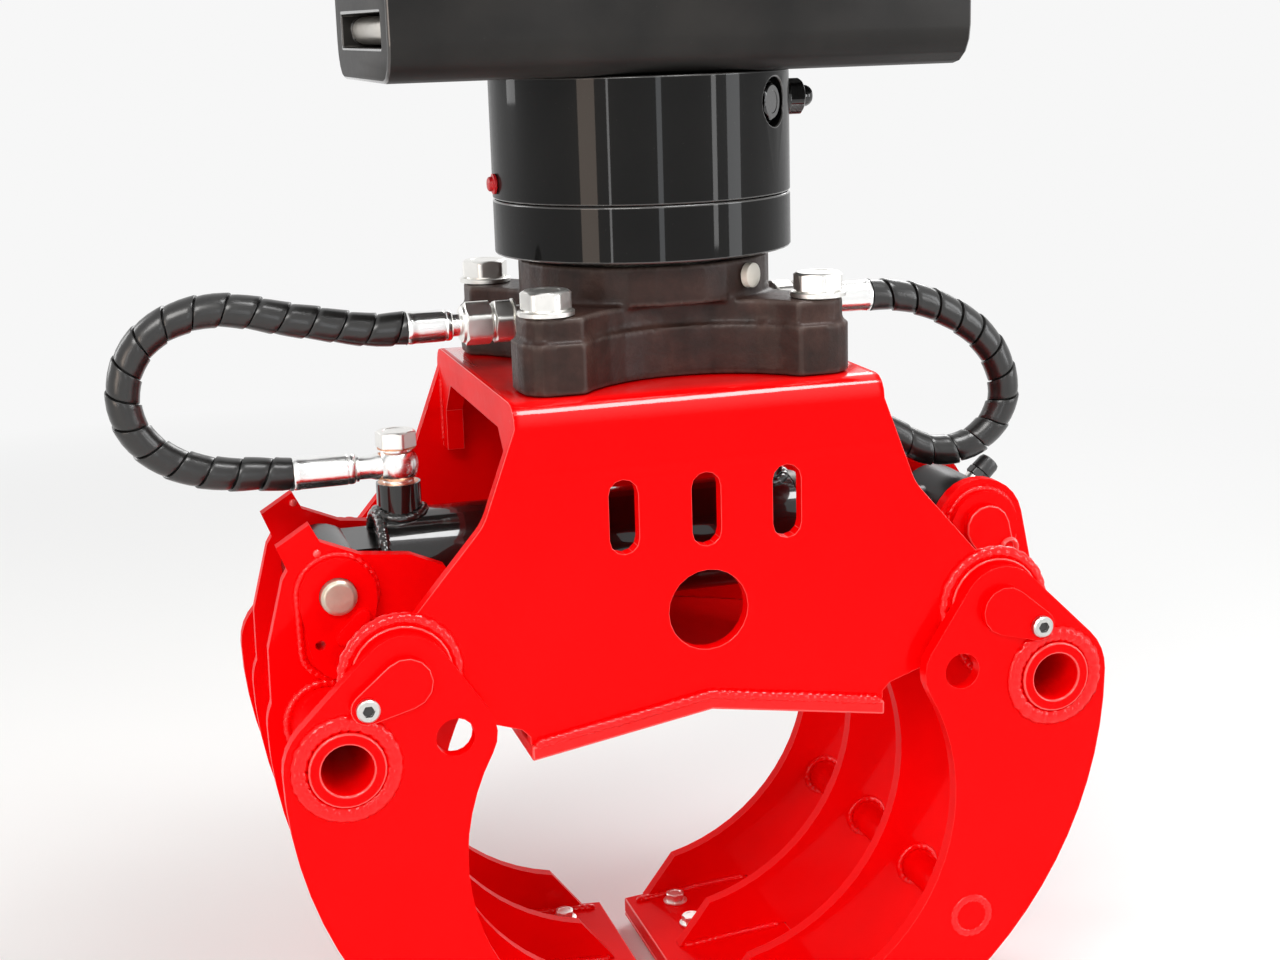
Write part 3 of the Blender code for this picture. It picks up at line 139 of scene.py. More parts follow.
class Paint:
    """A node material under construction: one Principled shader and what feeds it."""

    def __init__(self, name, **sockets):
        self.material = bpy.data.materials.new(name)
        self.material.use_nodes = True
        self.tree = self.material.node_tree
        self.tree.nodes.clear()
        self.shader = self.node("BsdfPrincipled", **sockets)
        self.node("OutputMaterial", Surface=self.shader.outputs["BSDF"])
        self.place = self.node("TexCoord").outputs["Object"]

    def node(self, kind, **sockets):
        return new_node(self.tree, kind, **sockets)

    def feed(self, socket, value):
        put(self.shader.inputs[socket], value)

    def stretched(self, scale):
        return self.node("Mapping", Scale=scale, Vector=self.place).outputs["Vector"]

    def noise(self, scale, detail=3.0, roughness=0.5, place=None):
        return self.node("TexNoise", Scale=scale, Detail=detail, Roughness=roughness,
                         Vector=place or self.place).outputs["Fac"]

    def cells(self, scale):
        return self.node("TexVoronoi", Scale=scale, Vector=self.place).outputs["Distance"]

    def ramp(self, value, *stops):
        node = self.node("ValToRGB", Fac=value)
        ramp = node.color_ramp
        while len(ramp.elements) < len(stops):
            ramp.elements.new(0.5)
        for element, (position, colour) in zip(ramp.elements, stops):
            element.position = position
            element.color = (*colour, 1.0) if hasattr(colour, "__len__") else (colour,) * 3 + (1.0,)
        return node.outputs["Color"]

    def spread(self, value, low, high):
        return self.node("MapRange", To_Min=low, To_Max=high, Value=value).outputs["Result"]

    def mix(self, factor, a, b):
        node = self.node("Mix")
        node.data_type = "RGBA"
        for socket, value in (("Factor", factor), ("A", a), ("B", b)):
            put(node.inputs[socket], (*value, 1.0) if isinstance(value, tuple) else value)
        return node.outputs["Result"]

    def bump(self, *layers):
        """Each layer is (height, depth in metres, strength)."""
        normal = {}
        for height, depth, strength in layers:
            node = self.node("Bump", Distance=depth, Strength=strength, Height=height, **normal)
            normal = {"Normal": node.outputs["Normal"]}
        self.feed("Normal", normal["Normal"])

    def step(self, middle, width=0.004, axis="Z"):
        """0 on one side of a place along an axis and 1 on the other."""
        along = self.node("SeparateXYZ", Vector=self.place).outputs[axis]
        node = self.node("MapRange", From_Min=middle - width, From_Max=middle + width, Value=along)
        node.interpolation_type = "SMOOTHSTEP"
        return node.outputs["Result"]


# The strong gloss inside the frame ends this far from the middle
GLOSS_REACH = 0.0985
FRAME_CREASE_Z, GLOSS_LOW_Z = -0.295, -0.264
NO_COAT = (0.0, 0.0, 0.0)


def painted_red(name, peel=0.00012, sag=0.0009, creases=(), coat=0.08, specular=0.02, pale=0.0,
                glossy_above=None):
    """Red gloss paint. pale mixes it towards pink, which is a painted highlight, as on edges that
    catch the light.
    """
    m = Paint(name, Roughness=0.34, Coat_Weight=coat, Coat_Roughness=0.06,
              Specular_IOR_Level=specular)
    broad = m.noise(9.0, 4.0)
    dust = m.noise(55.0, 6.0, 0.65)
    colour = m.ramp(broad, (0.25, (0.74, 0.0004, 0.0010)), (0.55, (0.86, 0.0006, 0.0014)),
                    (0.85, (0.93, 0.0012, 0.0020)))
    colour = m.mix(m.spread(m.ramp(dust, (0.60, 0.0), (0.78, 1.0)), 0.0, 0.18), colour,
                   (0.66, 0.004, 0.005))
    # pale mixes in light pink: a painted highlight
    colour = m.mix(pale, colour, (1.0, 0.16, 0.14))
    m.feed("Base Color", colour)
    m.feed("Roughness", m.spread(dust, 0.26, 0.46))
    layers = [(m.noise(7.0, 2.0), sag, 0.55), (m.noise(420.0, 2.0), peel, 0.35)]
    for height in creases:
        layers.append((m.step(height), 0.0012, 0.9))
    m.bump(*layers)
    if glossy_above is not None:
        inner = m.mix(m.step(-GLOSS_REACH, 0.001, "X"), NO_COAT, m.step(glossy_above))
        inner = m.mix(m.step(GLOSS_REACH, 0.001, "X"), inner, NO_COAT)
        m.feed("Coat Weight", m.spread(inner, coat, 1.0))
    return m.material


def painted_black(name, grey=0.0050, peel=0.00008, coat=0.42, rough=(0.24, 0.40), specular=0.2,
                  coat_rough=0.035, dull_left_of=None):
    """Black gloss paint. dull_left_of is an X below which the paint has little gloss."""
    m = Paint(name, Roughness=0.3, Coat_Weight=coat, Coat_Roughness=coat_rough,
              Specular_IOR_Level=specular)
    broad, fine = m.noise(12.0, 4.0), m.noise(260.0, 5.0, 0.7)
    specks = m.ramp(m.cells(190.0), (0.0, 1.0), (0.055, 0.0))
    colour = m.ramp(broad, (0.3, (grey * 0.7,) * 3), (0.7, (grey * 1.7, grey * 1.6, grey * 1.5)))
    colour = m.mix(m.spread(specks, 0.0, 0.10), colour, (0.32, 0.30, 0.28))
    m.feed("Base Color", colour)
    m.feed("Roughness", m.spread(fine, *rough))
    m.bump((m.noise(10.0, 2.0), 0.0007, 0.35), (m.noise(500.0, 2.0), peel, 0.3))
    if dull_left_of is not None:
        m.feed("Coat Weight", m.spread(m.step(dull_left_of, 0.001, "X"), coat * 0.15, coat))
    return m.material


def cast_iron(name):
    """Brown-black iron, rough and worn pale along its edges."""
    m = Paint(name, Roughness=0.5, Coat_Weight=0.12, Coat_Roughness=0.22, Specular_IOR_Level=0.18)
    coarse, fine = m.noise(60.0, 6.0, 0.6), m.noise(420.0, 4.0, 0.6)
    colour = m.ramp(coarse, (0.30, (0.015, 0.0075, 0.0055)), (0.55, (0.032, 0.0145, 0.0110)),
                    (0.80, (0.060, 0.030, 0.023)))
    edge = m.node("NewGeometry").outputs["Pointiness"]
    colour = m.mix(m.spread(m.ramp(edge, (0.51, 0.0), (0.60, 1.0)), 0.0, 0.6), colour,
                   (0.22, 0.18, 0.16))
    m.feed("Base Color", colour)
    m.feed("Roughness", m.spread(fine, 0.34, 0.62))
    m.bump((coarse, 0.0012, 0.55), (fine, 0.00035, 0.6))
    return m.material


def plated(name, low, high, rough=(0.22, 0.40), grain=(1.0, 1.0, 1.0), scale=180.0):
    """Bare or plated metal, from its darker to its lighter colour, with a few stains."""
    m = Paint(name, Metallic=1.0, Roughness=0.3)
    place = m.stretched(grain)
    streak, cloud = m.noise(scale, 4.0, 0.6, place), m.noise(45.0, 5.0, 0.6)
    colour = m.mix(m.spread(cloud, 0.0, 1.0), low, high)
    stain = m.ramp(m.noise(110.0, 6.0, 0.7), (0.62, 0.0), (0.74, 1.0))
    colour = m.mix(m.spread(stain, 0.0, 0.35), colour, tuple(c * 0.45 for c in low))
    m.feed("Base Color", colour)
    m.feed("Roughness", m.spread(streak, *rough))
    m.bump((streak, 0.00008, 0.5))
    return m.material


def moulded(name, low, high, rough=(0.35, 0.55), grain=700.0, depth=0.0001, coat=0.0):
    """Rubber or plastic, from its darker to its lighter colour, with a few scuffs."""
    m = Paint(name, Roughness=0.45, Coat_Weight=coat, Coat_Roughness=0.2)
    cloud, fine = m.noise(38.0, 5.0, 0.6), m.noise(grain, 3.0, 0.6)
    scuff = m.ramp(m.noise(90.0, 6.0, 0.75), (0.60, 0.0), (0.76, 1.0))
    colour = m.mix(m.spread(cloud, 0.0, 1.0), low, high)
    colour = m.mix(m.spread(scuff, 0.0, 0.25), colour, tuple(min(1.0, 3.5 * c + 0.01) for c in high))
    m.feed("Base Color", colour)
    m.feed("Roughness", m.spread(fine, *rough))
    m.bump((cloud, 0.0003, 0.3), (fine, depth, 0.5))
    return m.material


def rod_finish(name, eye_x):
    """Chrome up to the rod's eye, painted dark grey as painted shade and a painted reflection of its
    dark surroundings, and black paint on the eye.
    """
    m = Paint(name, Metallic=1.0, Roughness=0.1, Specular_IOR_Level=0.2)
    streak = m.noise(400.0, 4.0, 0.6, m.stretched((6.0, 0.6, 0.6)))
    eye = m.step(eye_x, 0.0006, "X")
    # The chrome's dark grey is painted shade: a painted reflection of the dark inside of the frame
    chrome = m.ramp(streak, (0.3, (0.30, 0.30, 0.31)), (0.7, (0.44, 0.44, 0.45)))
    m.feed("Base Color", m.mix(eye, chrome, (0.006, 0.0055, 0.005)))
    m.feed("Metallic", m.spread(eye, 1.0, 0.0))
    m.feed("Roughness", m.spread(eye, 0.08, 0.34))
    m.bump((streak, 0.00002, 0.5))
    return m.material


def pin_finish(name, flag_y):
    """Bare worn steel on the pin's front end, and red paint on the flag behind it."""
    m = Paint(name, Metallic=0.85, Roughness=0.4, Specular_IOR_Level=0.2)
    cloud, fine = m.noise(150.0, 4.0, 0.6), m.noise(45.0, 5.0, 0.6)
    flag = m.step(flag_y, 0.0005, "Y")
    bare = m.mix(fine, (0.30, 0.25, 0.19), (0.78, 0.71, 0.60))
    m.feed("Base Color", m.mix(flag, bare, (0.86, 0.0006, 0.0014)))
    m.feed("Metallic", m.spread(flag, 0.85, 0.0))
    m.feed("Roughness", m.spread(cloud, 0.30, 0.55))
    m.bump((cloud, 0.0004, 0.5))
    return m.material


RED = painted_red("red_gloss")
RED_FRAME = painted_red("red_frame", creases=(FRAME_CREASE_Z,), glossy_above=GLOSS_LOW_Z)
# Pale pink under a strong coat: a painted highlight on bevelled edges, tack welds and the wire clip
RED_EDGE_HIGHLIGHT = painted_red("red_edge_painted_highlight", coat=1.0, specular=0.3, pale=0.35)
# A touch of pale pink on the bottom plate: a painted sheen
RED_LIP = painted_red("red_lip", coat=0.35, specular=0.1, pale=0.02)
RED_WELD = painted_red("red_weld", peel=0.0006, sag=0.0005, coat=0.6, specular=0.05)
BLACK_BEAM = painted_black("black_beam", grey=0.019, coat=0.16, specular=0.03, coat_rough=0.30,
                           rough=(0.40, 0.55))
BLACK = painted_black("black_gloss", grey=0.0035, coat=0.30, specular=0.03)
# Lighter grey than the black faces: a painted highlight on bevelled edges
BLACK_EDGE_HIGHLIGHT = painted_black("black_edge_painted_highlight", grey=0.030, coat=0.8, specular=0.4)
BLACK_WELD = painted_black("black_weld", grey=0.006, peel=0.0005, coat=1.0)
BLACK_CYLINDER = painted_black("black_cylinder", grey=0.003, coat=1.0, rough=(0.16, 0.28),
                               dull_left_of=-0.1615)
CAST = cast_iron("cast_iron")
ZINC = plated("zinc", (0.74, 0.73, 0.70), (0.95, 0.94, 0.91), rough=(0.24, 0.42))
SCREW = plated("screw", (0.40, 0.40, 0.39), (0.74, 0.74, 0.72), rough=(0.20, 0.40))
CRIMPED = plated("crimped_zinc", (0.88, 0.88, 0.87), (0.99, 0.99, 0.98), rough=(0.16, 0.34),
                 grain=(0.25, 3.0, 3.0), scale=300.0)
CHROME = rod_finish("rod_finish", LEVER_X - 0.026)
# The gland's near-black is painted shade: it sits in the shade of the frame
GLAND_PAINTED_SHADE = plated("gland_painted_shade", (0.050, 0.046, 0.042), (0.11, 0.10, 0.09), rough=(0.26, 0.42))
STEEL = plated("turned_steel", (0.40, 0.38, 0.35), (0.62, 0.58, 0.52), rough=(0.26, 0.42))
PIN_STEEL = pin_finish("pin_steel", LEVER_FACE)
COPPER = plated("copper", (0.62, 0.30, 0.18), (0.83, 0.46, 0.30))
BRONZE = plated("bronze", (0.50, 0.33, 0.14), (0.66, 0.46, 0.22))
GUARD = moulded("spiral_guard", (0.0050, 0.0048, 0.0045), (0.012, 0.0115, 0.011), rough=(0.22, 0.40),
                grain=240.0, depth=0.00012, coat=0.30)
HOSE = moulded("hose_cover", (0.006, 0.006, 0.006), (0.014, 0.014, 0.014), rough=(0.5, 0.75),
               grain=900.0, depth=0.00025)
SEAL = moulded("seal_rubber", (0.010, 0.010, 0.010), (0.020, 0.020, 0.020), rough=(0.5, 0.7))
BLACK_CAP = moulded("black_cap", (0.010, 0.010, 0.010), (0.020, 0.020, 0.021), coat=0.3)
RED_CAP = moulded("red_cap", (0.45, 0.006, 0.010), (0.62, 0.012, 0.016), rough=(0.30, 0.45))
PALE_CAP = moulded("pale_cap", (0.62, 0.58, 0.50), (0.82, 0.78, 0.70), rough=(0.35, 0.5))


# Making and placing pieces
def mesh_object(name, vertices, faces, material, sharp=None):
    mesh = bpy.data.meshes.new(name)
    mesh.from_pydata([tuple(v) for v in vertices], [], faces)
    mesh.materials.append(material)
    return shaded(linked(name, mesh), sharp)


def between_rings(rows, around, closed=False):
    """The faces between closed rings of points that follow each other."""
    faces = []
    for i in range(rows if closed else rows - 1):
        n = (i + 1) % rows
        for k in range(around):
            m = (k + 1) % around
            faces.append((i * around + k, i * around + m, n * around + m, n * around + k))
    return faces


def end_faces(rows, around):
    """The faces on the first and the last ring."""
    return [tuple(range(around)), tuple(range((rows - 1) * around, rows * around))]


def fan(ring, centre):
    """Triangles from a closed ring of points to its centre."""
    ring = list(ring)
    return [(a, b, centre) for a, b in zip(ring, ring[1:] + ring[:1])]


def shaded(made, sharp=None):
    bm = bmesh.new()
    bm.from_mesh(made.data)
    bmesh.ops.remove_doubles(bm, verts=bm.verts, dist=1e-7)
    bmesh.ops.recalc_face_normals(bm, faces=bm.faces)
    bm.to_mesh(made.data)
    bm.free()
    made.data.polygons.foreach_set("use_smooth", [True] * len(made.data.polygons))
    if sharp is not None:
        made.data.set_sharp_from_angle(angle=math.radians(sharp))
    return made


def give(made, body, slot, *nodes):
    """A finished piece rides on its body and stands for the nodes it covers, which are hidden; slot
    is not used.
    """
    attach(made, body)
    if nodes:
        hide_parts(*nodes)
    return made


def dressed(node, parts, body, slot):
    """Parts joined into the piece that stands for one CAD node."""
    return give(joined(f"{node}_dressed", parts), body, slot, node)


def joined(name, parts):
    """Several mesh objects as one, each with its own material kept."""
    bm = bmesh.new()
    materials = []
    for part in parts:
        offset = len(bm.faces)
        bm.from_mesh(part.data)
        bm.faces.ensure_lookup_table()
        material = part.data.materials[0]
        if material not in materials:
            materials.append(material)
        for face in bm.faces[offset:]:
            face.material_index = materials.index(material)
    mesh = bpy.data.meshes.new(name)
    bm.to_mesh(mesh)
    bm.free()
    for material in materials:
        mesh.materials.append(material)
    for part in parts:
        bpy.data.objects.remove(part)
    return linked(name, mesh)


def axes(direction):
    """Two directions square to the given one."""
    d = Vector(direction).normalized()
    side = d.orthogonal() if abs(d.z) > 0.99 else d.cross(Vector((0, 0, 1)))
    side.normalize()
    return d, side, d.cross(side).normalized()


def lathe(name, profile, origin, direction, material, segments=56, shape=None):
    """A turned form: profile is (distance along, radius), and shape(angle, radius) may change
    a radius."""
    d, a, b = axes(direction)
    origin = Vector(origin)
    vertices = []
    for s, r in profile:
        for i in range(segments):
            angle = math.tau * i / segments
            radius = shape(angle, r) if shape else r
            vertices.append(origin + d * s + (a * math.cos(angle) + b * math.sin(angle)) * radius)
    faces = between_rings(len(profile), segments)
    for row, s in ((0, profile[0][0]), (len(profile) - 1, profile[-1][0])):
        faces += fan(range(row * segments, (row + 1) * segments), len(vertices))
        vertices.append(origin + d * s)
    return mesh_object(name, vertices, faces, material, 32)


def ring_profile(start, thick, inner, outer, rim=0.0002):
    """A lathe profile of a washer with its rims broken."""
    return [(start, inner), (start + rim, outer), (start + thick - rim, outer),
            (start + thick, inner)]


def hex_radius(angle, corner):
    """The radius of a hexagon with softly broken corners at an angle."""
    flat = corner * math.cos(math.pi / 6)
    part = (angle % (math.pi / 3)) - math.pi / 6
    return min(flat / math.cos(part), corner * 0.965)


HEX_SEGMENTS, HEX_CHAMFER = 72, 0.90


def hex_form(name, origin, direction, corner, height, material, turn=0.0, both=False, bore=0.0):
    """A hexagonal head or nut with turned chamfers."""
    d, a, b = axes(direction)
    origin = Vector(origin)
    top = corner * math.cos(math.pi / 6) * HEX_CHAMFER + 0.0004
    end = height - 0.0003
    vertices, faces = [], []
    for i in range(HEX_SEGMENTS):
        angle = math.tau * i / HEX_SEGMENTS
        ray = a * math.cos(angle + turn) + b * math.sin(angle + turn)
        r = hex_radius(angle, corner)
        drop = max(0.0, r - top) * 0.5 + 0.0002
        low = drop if both else 0.0
        ring = [(0.0, top * 0.995 if both else r * 0.985), (low + 0.0001, r),
                (height - drop, r), (height - drop * 0.45, (r + top) / 2 + 0.0001),
                (height, top), (height, top * 0.72), (end, max(bore, top * 0.68))]
        vertices += [origin + d * s + ray * q for s, q in ring]
    rows = len(ring)
    for i in range(HEX_SEGMENTS):
        j = (i + 1) % HEX_SEGMENTS
        for k in range(rows - 1):
            faces.append((i * rows + k, j * rows + k, j * rows + k + 1, i * rows + k + 1))
    for k, s in ((0, 0.0), (rows - 1, end)):
        faces += fan(range(k, HEX_SEGMENTS * rows, rows), len(vertices))
        vertices.append(origin + d * s)
    return mesh_object(name, vertices, faces, material, 24)


def frames_along(path, closed=False):
    """Tangent and two cross directions at each point, carried along without twist."""
    p = np.array(path, float)
    if closed:
        t = np.roll(p, -1, 0) - np.roll(p, 1, 0)
    else:
        t = np.gradient(p, axis=0)
    t /= np.linalg.norm(t, axis=1)[:, None]
    start = np.cross(t[0], (0, 1, 0))
    if np.linalg.norm(start) < 0.1:
        start = np.cross(t[0], (0, 0, 1))
    n = np.zeros_like(p)
    n[0] = start / np.linalg.norm(start)
    for i in range(1, len(p)):
        v = n[i - 1] - t[i] * (n[i - 1] @ t[i])
        n[i] = v / np.linalg.norm(v)
    return p, t, n, np.cross(t, n)


def resampled(path, step, closed=False):
    """The path in equal steps, and its length."""
    p = np.array(path, float)
    if closed:
        p = np.vstack([p, p[:1]])
    along = np.concatenate([[0], np.cumsum(np.linalg.norm(np.diff(p, axis=0), axis=1))])
    count = max(2, int(round(along[-1] / step)))
    at = np.linspace(0, along[-1], count + 1)
    if closed:
        at = at[:-1]
    return np.stack([np.interp(at, along, p[:, k]) for k in range(3)], 1), along[-1]


def ring_path(centre, radius, axis="y"):
    """A closed circle of points round an axis."""
    x, y, z = centre
    angles = np.linspace(0, math.tau, 96, endpoint=False)
    c, s = radius * np.cos(angles), radius * np.sin(angles)
    if axis == "y":
        return np.stack([x + c, np.full_like(c, y), z + s], 1)
    return np.stack([np.full_like(c, x), y + c, z + s], 1)


BEAD_AROUND, BEAD_LEAN = 12, 0.55


def bead(name, path, width, height, up, body=None, material=RED_WELD, closed=False, pitch=0.0046,
         seed=1):
    """A weld bead: overlapping ripples along a path, low and wide, crowned towards up."""
    rng = np.random.default_rng(seed)
    line, length = resampled(path, pitch / 5, closed)
    p, t, _, _ = frames_along(line, closed)
    crown = np.broadcast_to(np.array(up(p) if callable(up) else up, float), p.shape)
    crown = crown - t * np.sum(crown * t, 1)[:, None]
    crown /= np.linalg.norm(crown, axis=1)[:, None]
    side = np.cross(t, crown)
    ripples = int(length / pitch) + 3
    bounds = np.cumsum(pitch * rng.uniform(0.72, 1.28, ripples))
    bounds *= length / bounds[-1]
    size = rng.uniform(0.88, 1.1, ripples + 1)
    wander = np.interp(np.linspace(0, 1, len(p)), np.linspace(0, 1, 9), rng.uniform(-1, 1, 9))
    if closed:
        wander = wander * 0
    at = np.linspace(0, length, len(p), endpoint=not closed)
    vertices = []
    for i in range(len(p)):
        taper = 1.0
        if not closed:
            taper = min(1.0, math.sqrt(max(0.0, min(at[i], length - at[i])) / (width * 1.1)) + 0.05)
        for k in range(BEAD_AROUND):
            angle = math.tau * k / BEAD_AROUND
            s = (at[i] + BEAD_LEAN * width * math.sin(angle)) % length
            ripple = int(np.searchsorted(bounds, s)) % ripples
            low = bounds[ripple - 1] if ripple else 0.0
            phase = (s - low) / max(bounds[ripple] - low, 1e-9)
            lift = 0.70 + 0.34 * math.sqrt(max(0.0, 1 - (2 * phase - 1) ** 2)) * size[ripple]
            offset = (side[i] * (math.cos(angle) * width * lift + wander[i] * width * 0.08)
                      + crown[i] * math.sin(angle) * height * lift) * taper
            vertices.append(p[i] + offset)
    faces = between_rings(len(p), BEAD_AROUND, closed)
    if not closed:
        faces += end_faces(len(p), BEAD_AROUND)
    made = mesh_object(name, vertices, faces, material)
    if body:
        give(made, body, "red_paint" if material == RED_WELD else "black_paint")
    return made


# The paint for each material's bevelled edges, lighter than its faces: a painted highlight
EDGES = {RED: RED_EDGE_HIGHLIGHT, RED_FRAME: RED_EDGE_HIGHLIGHT, RED_LIP: RED_EDGE_HIGHLIGHT, BLACK: BLACK_EDGE_HIGHLIGHT,
         BLACK_BEAM: BLACK_EDGE_HIGHLIGHT}


def node_copy(node, name, material):
    """A copy of a CAD node's mesh to dress, in one material and without its split normals."""
    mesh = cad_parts[node].data.copy()
    if mesh.has_custom_normals:
        mesh.attributes.remove(mesh.attributes["custom_normal"])
    painted(mesh, material)
    return linked(name, mesh)


def painted(mesh, *materials):
    """The mesh takes these materials, with the first one on all its faces."""
    mesh.materials.clear()
    for material in materials:
        mesh.materials.append(material)
    mesh.polygons.foreach_set("material_index", [0] * len(mesh.polygons))


def cut_out(made, cutters):
    """Helper solids leave holes in a piece and are gone afterwards."""
    for cutter in cutters:
        boolean = made.modifiers.new("hole", "BOOLEAN")
        boolean.operation, boolean.object, boolean.solver = "DIFFERENCE", cutter, "EXACT"
    graph = bpy.context.evaluated_depsgraph_get()
    holed = bpy.data.meshes.new_from_object(made.evaluated_get(graph), depsgraph=graph)
    made.modifiers.clear()
    made.data = holed
    for cutter in cutters:
        bpy.data.objects.remove(cutter)


def refined(node, material, body, slot, width=0.0007, segments=2, cuts=(), merge_flats=True):
    """A CAD node as a dressed piece: its edges are broken and its curved sides shaded smooth."""
    made = node_copy(node, node + "_skin", material)
    mesh = made.data
    bm = bmesh.new()
    bm.from_mesh(mesh)
    bmesh.ops.remove_doubles(bm, verts=bm.verts, dist=2e-6)
    if merge_flats:
        bmesh.ops.dissolve_limit(bm, angle_limit=math.radians(0.6), verts=bm.verts, edges=bm.edges)
    bmesh.ops.recalc_face_normals(bm, faces=bm.faces)
    bm.to_mesh(mesh)
    bm.free()
    mesh.polygons.foreach_set("use_smooth", [True] * len(mesh.polygons))
    if cuts:
        cut_out(made, cuts)
    bevel = made.modifiers.new("edges", "BEVEL")
    bevel.width, bevel.segments = width, segments
    bevel.limit_method, bevel.angle_limit = "ANGLE", math.radians(28)
    bevel.use_clamp_overlap = True
    bevel.harden_normals = True
    bevel.miter_outer = "MITER_ARC"
    # The bevels take the lighter edge paint, a painted highlight
    if material in EDGES:
        painted(made.data, material, EDGES[material])
        bevel.material = 1
    return give(made, body, slot, node)


# Hoses
def catmull(points, each=4):
    """A smooth run through the points, with so many steps between two of them."""
    p = [Vector(q) for q in points]
    p = [p[0] * 2 - p[1], *p, p[-1] * 2 - p[-2]]
    out = []
    for k in range(1, len(p) - 2):
        a, b, c, d = p[k - 1:k + 3]
        for i in range(each):
            t = i / each
            out.append(0.5 * (2 * b + (c - a) * t + (2 * a - 5 * b + 4 * c - d) * t ** 2
                              + (3 * b - 3 * c + d - a) * t ** 3))
    out.append(p[-2])
    return out


LEFT_ROUTE = [(-0.153, 0.161), (-0.168, 0.1635), (-0.184, 0.167), (-0.201, 0.1705),
              (-0.218, 0.175), (-0.235, 0.1775), (-0.251, 0.176), (-0.267, 0.170),
              (-0.2795, 0.159), (-0.2865, 0.144), (-0.2875, 0.128), (-0.282, 0.113),
              (-0.270, 0.1005), (-0.254, 0.0925), (-0.237, 0.0885), (-0.220, 0.0872)]
RIGHT_ROUTE = [(0.155, 0.1593), (0.171, 0.155), (0.187, 0.1475), (0.2035, 0.1365),
               (0.216, 0.122), (0.2225, 0.106), (0.223, 0.092), (0.216, 0.0775),
               (0.203, 0.0675), (0.188, 0.064), (0.172, 0.066), (0.158, 0.073), (0.1445, 0.081)]
HOSE_START_X, HOSE_LEAD = 0.1361, 0.00475
LOWER_X = {"left": -0.2026, "right": 0.1261}


def hose_line(side):
    sign = -1 if side == "left" else 1
    start = Vector((sign * HOSE_START_X, 0, PORT_Z))
    end = Vector((LOWER_X[side], 0, BANJO_Z))
    lead = Vector((sign * HOSE_LEAD, 0, 0))
    route = [(x, 0, PIVOT_Z + up) for x, up in (LEFT_ROUTE if side == "left" else RIGHT_ROUTE)]
    return [start, *catmull([start + lead, *route, end + lead]), end]


def round_tube(name, points, radius, material, around=20):
    p, _, n, b = frames_along(points)
    vertices = []
    for i in range(len(p)):
        for k in range(around):
            a = math.tau * k / around
            vertices.append(p[i] + radius * (n[i] * math.cos(a) + b[i] * math.sin(a)))
    faces = between_rings(len(p), around) + end_faces(len(p), around)
    return mesh_object(name, vertices, faces, material, 40)


GUARD_INNER, GUARD_OUTER, GUARD_PITCH, GUARD_COVER = 0.0067, 0.0094, 0.0158, 0.955
GUARD_STEPS = 32


def spiral_guard(name, points, material, turn):
    """A flat plastic strip wound round the hose, its edges a little proud where it bends.
    turn is 1 or -1 for the hand of the winding."""
    line, length = resampled([tuple(q) for q in points], 0.0015)
    p, _, n, b = frames_along(line)
    at = np.linspace(0, length, len(p))

    def on_line(s, values):
        return np.stack([np.interp(s, at, values[:, k]) for k in range(3)], -1)

    inner, outer = GUARD_INNER, GUARD_OUTER
    half = GUARD_PITCH * GUARD_COVER / 2
    section = [(-half, inner), (-half, outer - 0.0005), (-half + 0.0002, outer - 0.00015),
               (-half + 0.0006, outer), (-half * 0.6, outer - 0.00012),
               (0.0, outer - 0.0003), (half * 0.6, outer - 0.00055),
               (half - 0.0006, outer - 0.0008), (half - 0.0002, outer - 0.0010),
               (half, outer - 0.0014), (half, inner)]
    turns = length / GUARD_PITCH
    count = int(turns * GUARD_STEPS)
    vertices = []
    for i in range(count + 1):
        u = (i / count) * (turns + 1) - 0.5
        angle = turn * u * math.tau
        for offset, radius in section:
            s = min(max(u * GUARD_PITCH + offset, 0.0), length)
            centre, nn, bb = on_line(s, p), on_line(s, n), on_line(s, b)
            vertices.append(centre + radius * (nn * math.cos(angle) + bb * math.sin(angle)))
    faces = between_rings(count + 1, len(section)) + end_faces(count + 1, len(section))
    return mesh_object(name, vertices, faces, material, 34)


CORE_R = 0.0066


def make_hoses():
    for side in ("left", "right"):
        line = hose_line(side)
        core = round_tube(f"hose_core_{side}", line, CORE_R, HOSE)
        guard = spiral_guard(f"hose_guard_{side}", line, GUARD, turn=-1 if side == "left" else 1)
        for made in (core, guard):
            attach(made, "frame")
            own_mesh(made)
        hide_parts(f"hose_{side}")


make_hoses()


# Hose fittings
def crimp(angle, r):
    """Eight soft flats pressed along a ferrule."""
    return r * (1 - 0.022 * (0.5 + 0.5 * math.cos(8 * angle)))


FERRULE_R, FERRULE_NECK_R = 0.0093, 0.0065
NUT_CORNER = 0.0127


def ferrule(origin, direction, length, neck):
    """A crimped ferrule with its neck, from the nut end towards the hose."""
    r = FERRULE_R
    body = [(0.0, FERRULE_NECK_R), (neck, FERRULE_NECK_R), (neck, r * 0.80),
            (neck + 0.0005, r * 0.88), (neck + 0.0014, r * 0.93), (neck + 0.0030, r * 0.94),
            (neck + 0.0034, r * 0.915), (neck + 0.0042, r * 0.915), (neck + 0.0046, r * 0.945)]
    body += [(neck + (length - neck) * part, r * (0.945 + 0.035 * part))
             for part in (0.3, 0.45, 0.6, 0.75)]
    body += [(length - 0.0036, r * 0.975), (length - 0.0028, r), (length - 0.0006, r),
             (length, r * 0.96), (length, r * 0.74)]
    return lathe("sleeve", body, origin, direction, CRIMPED, shape=crimp)


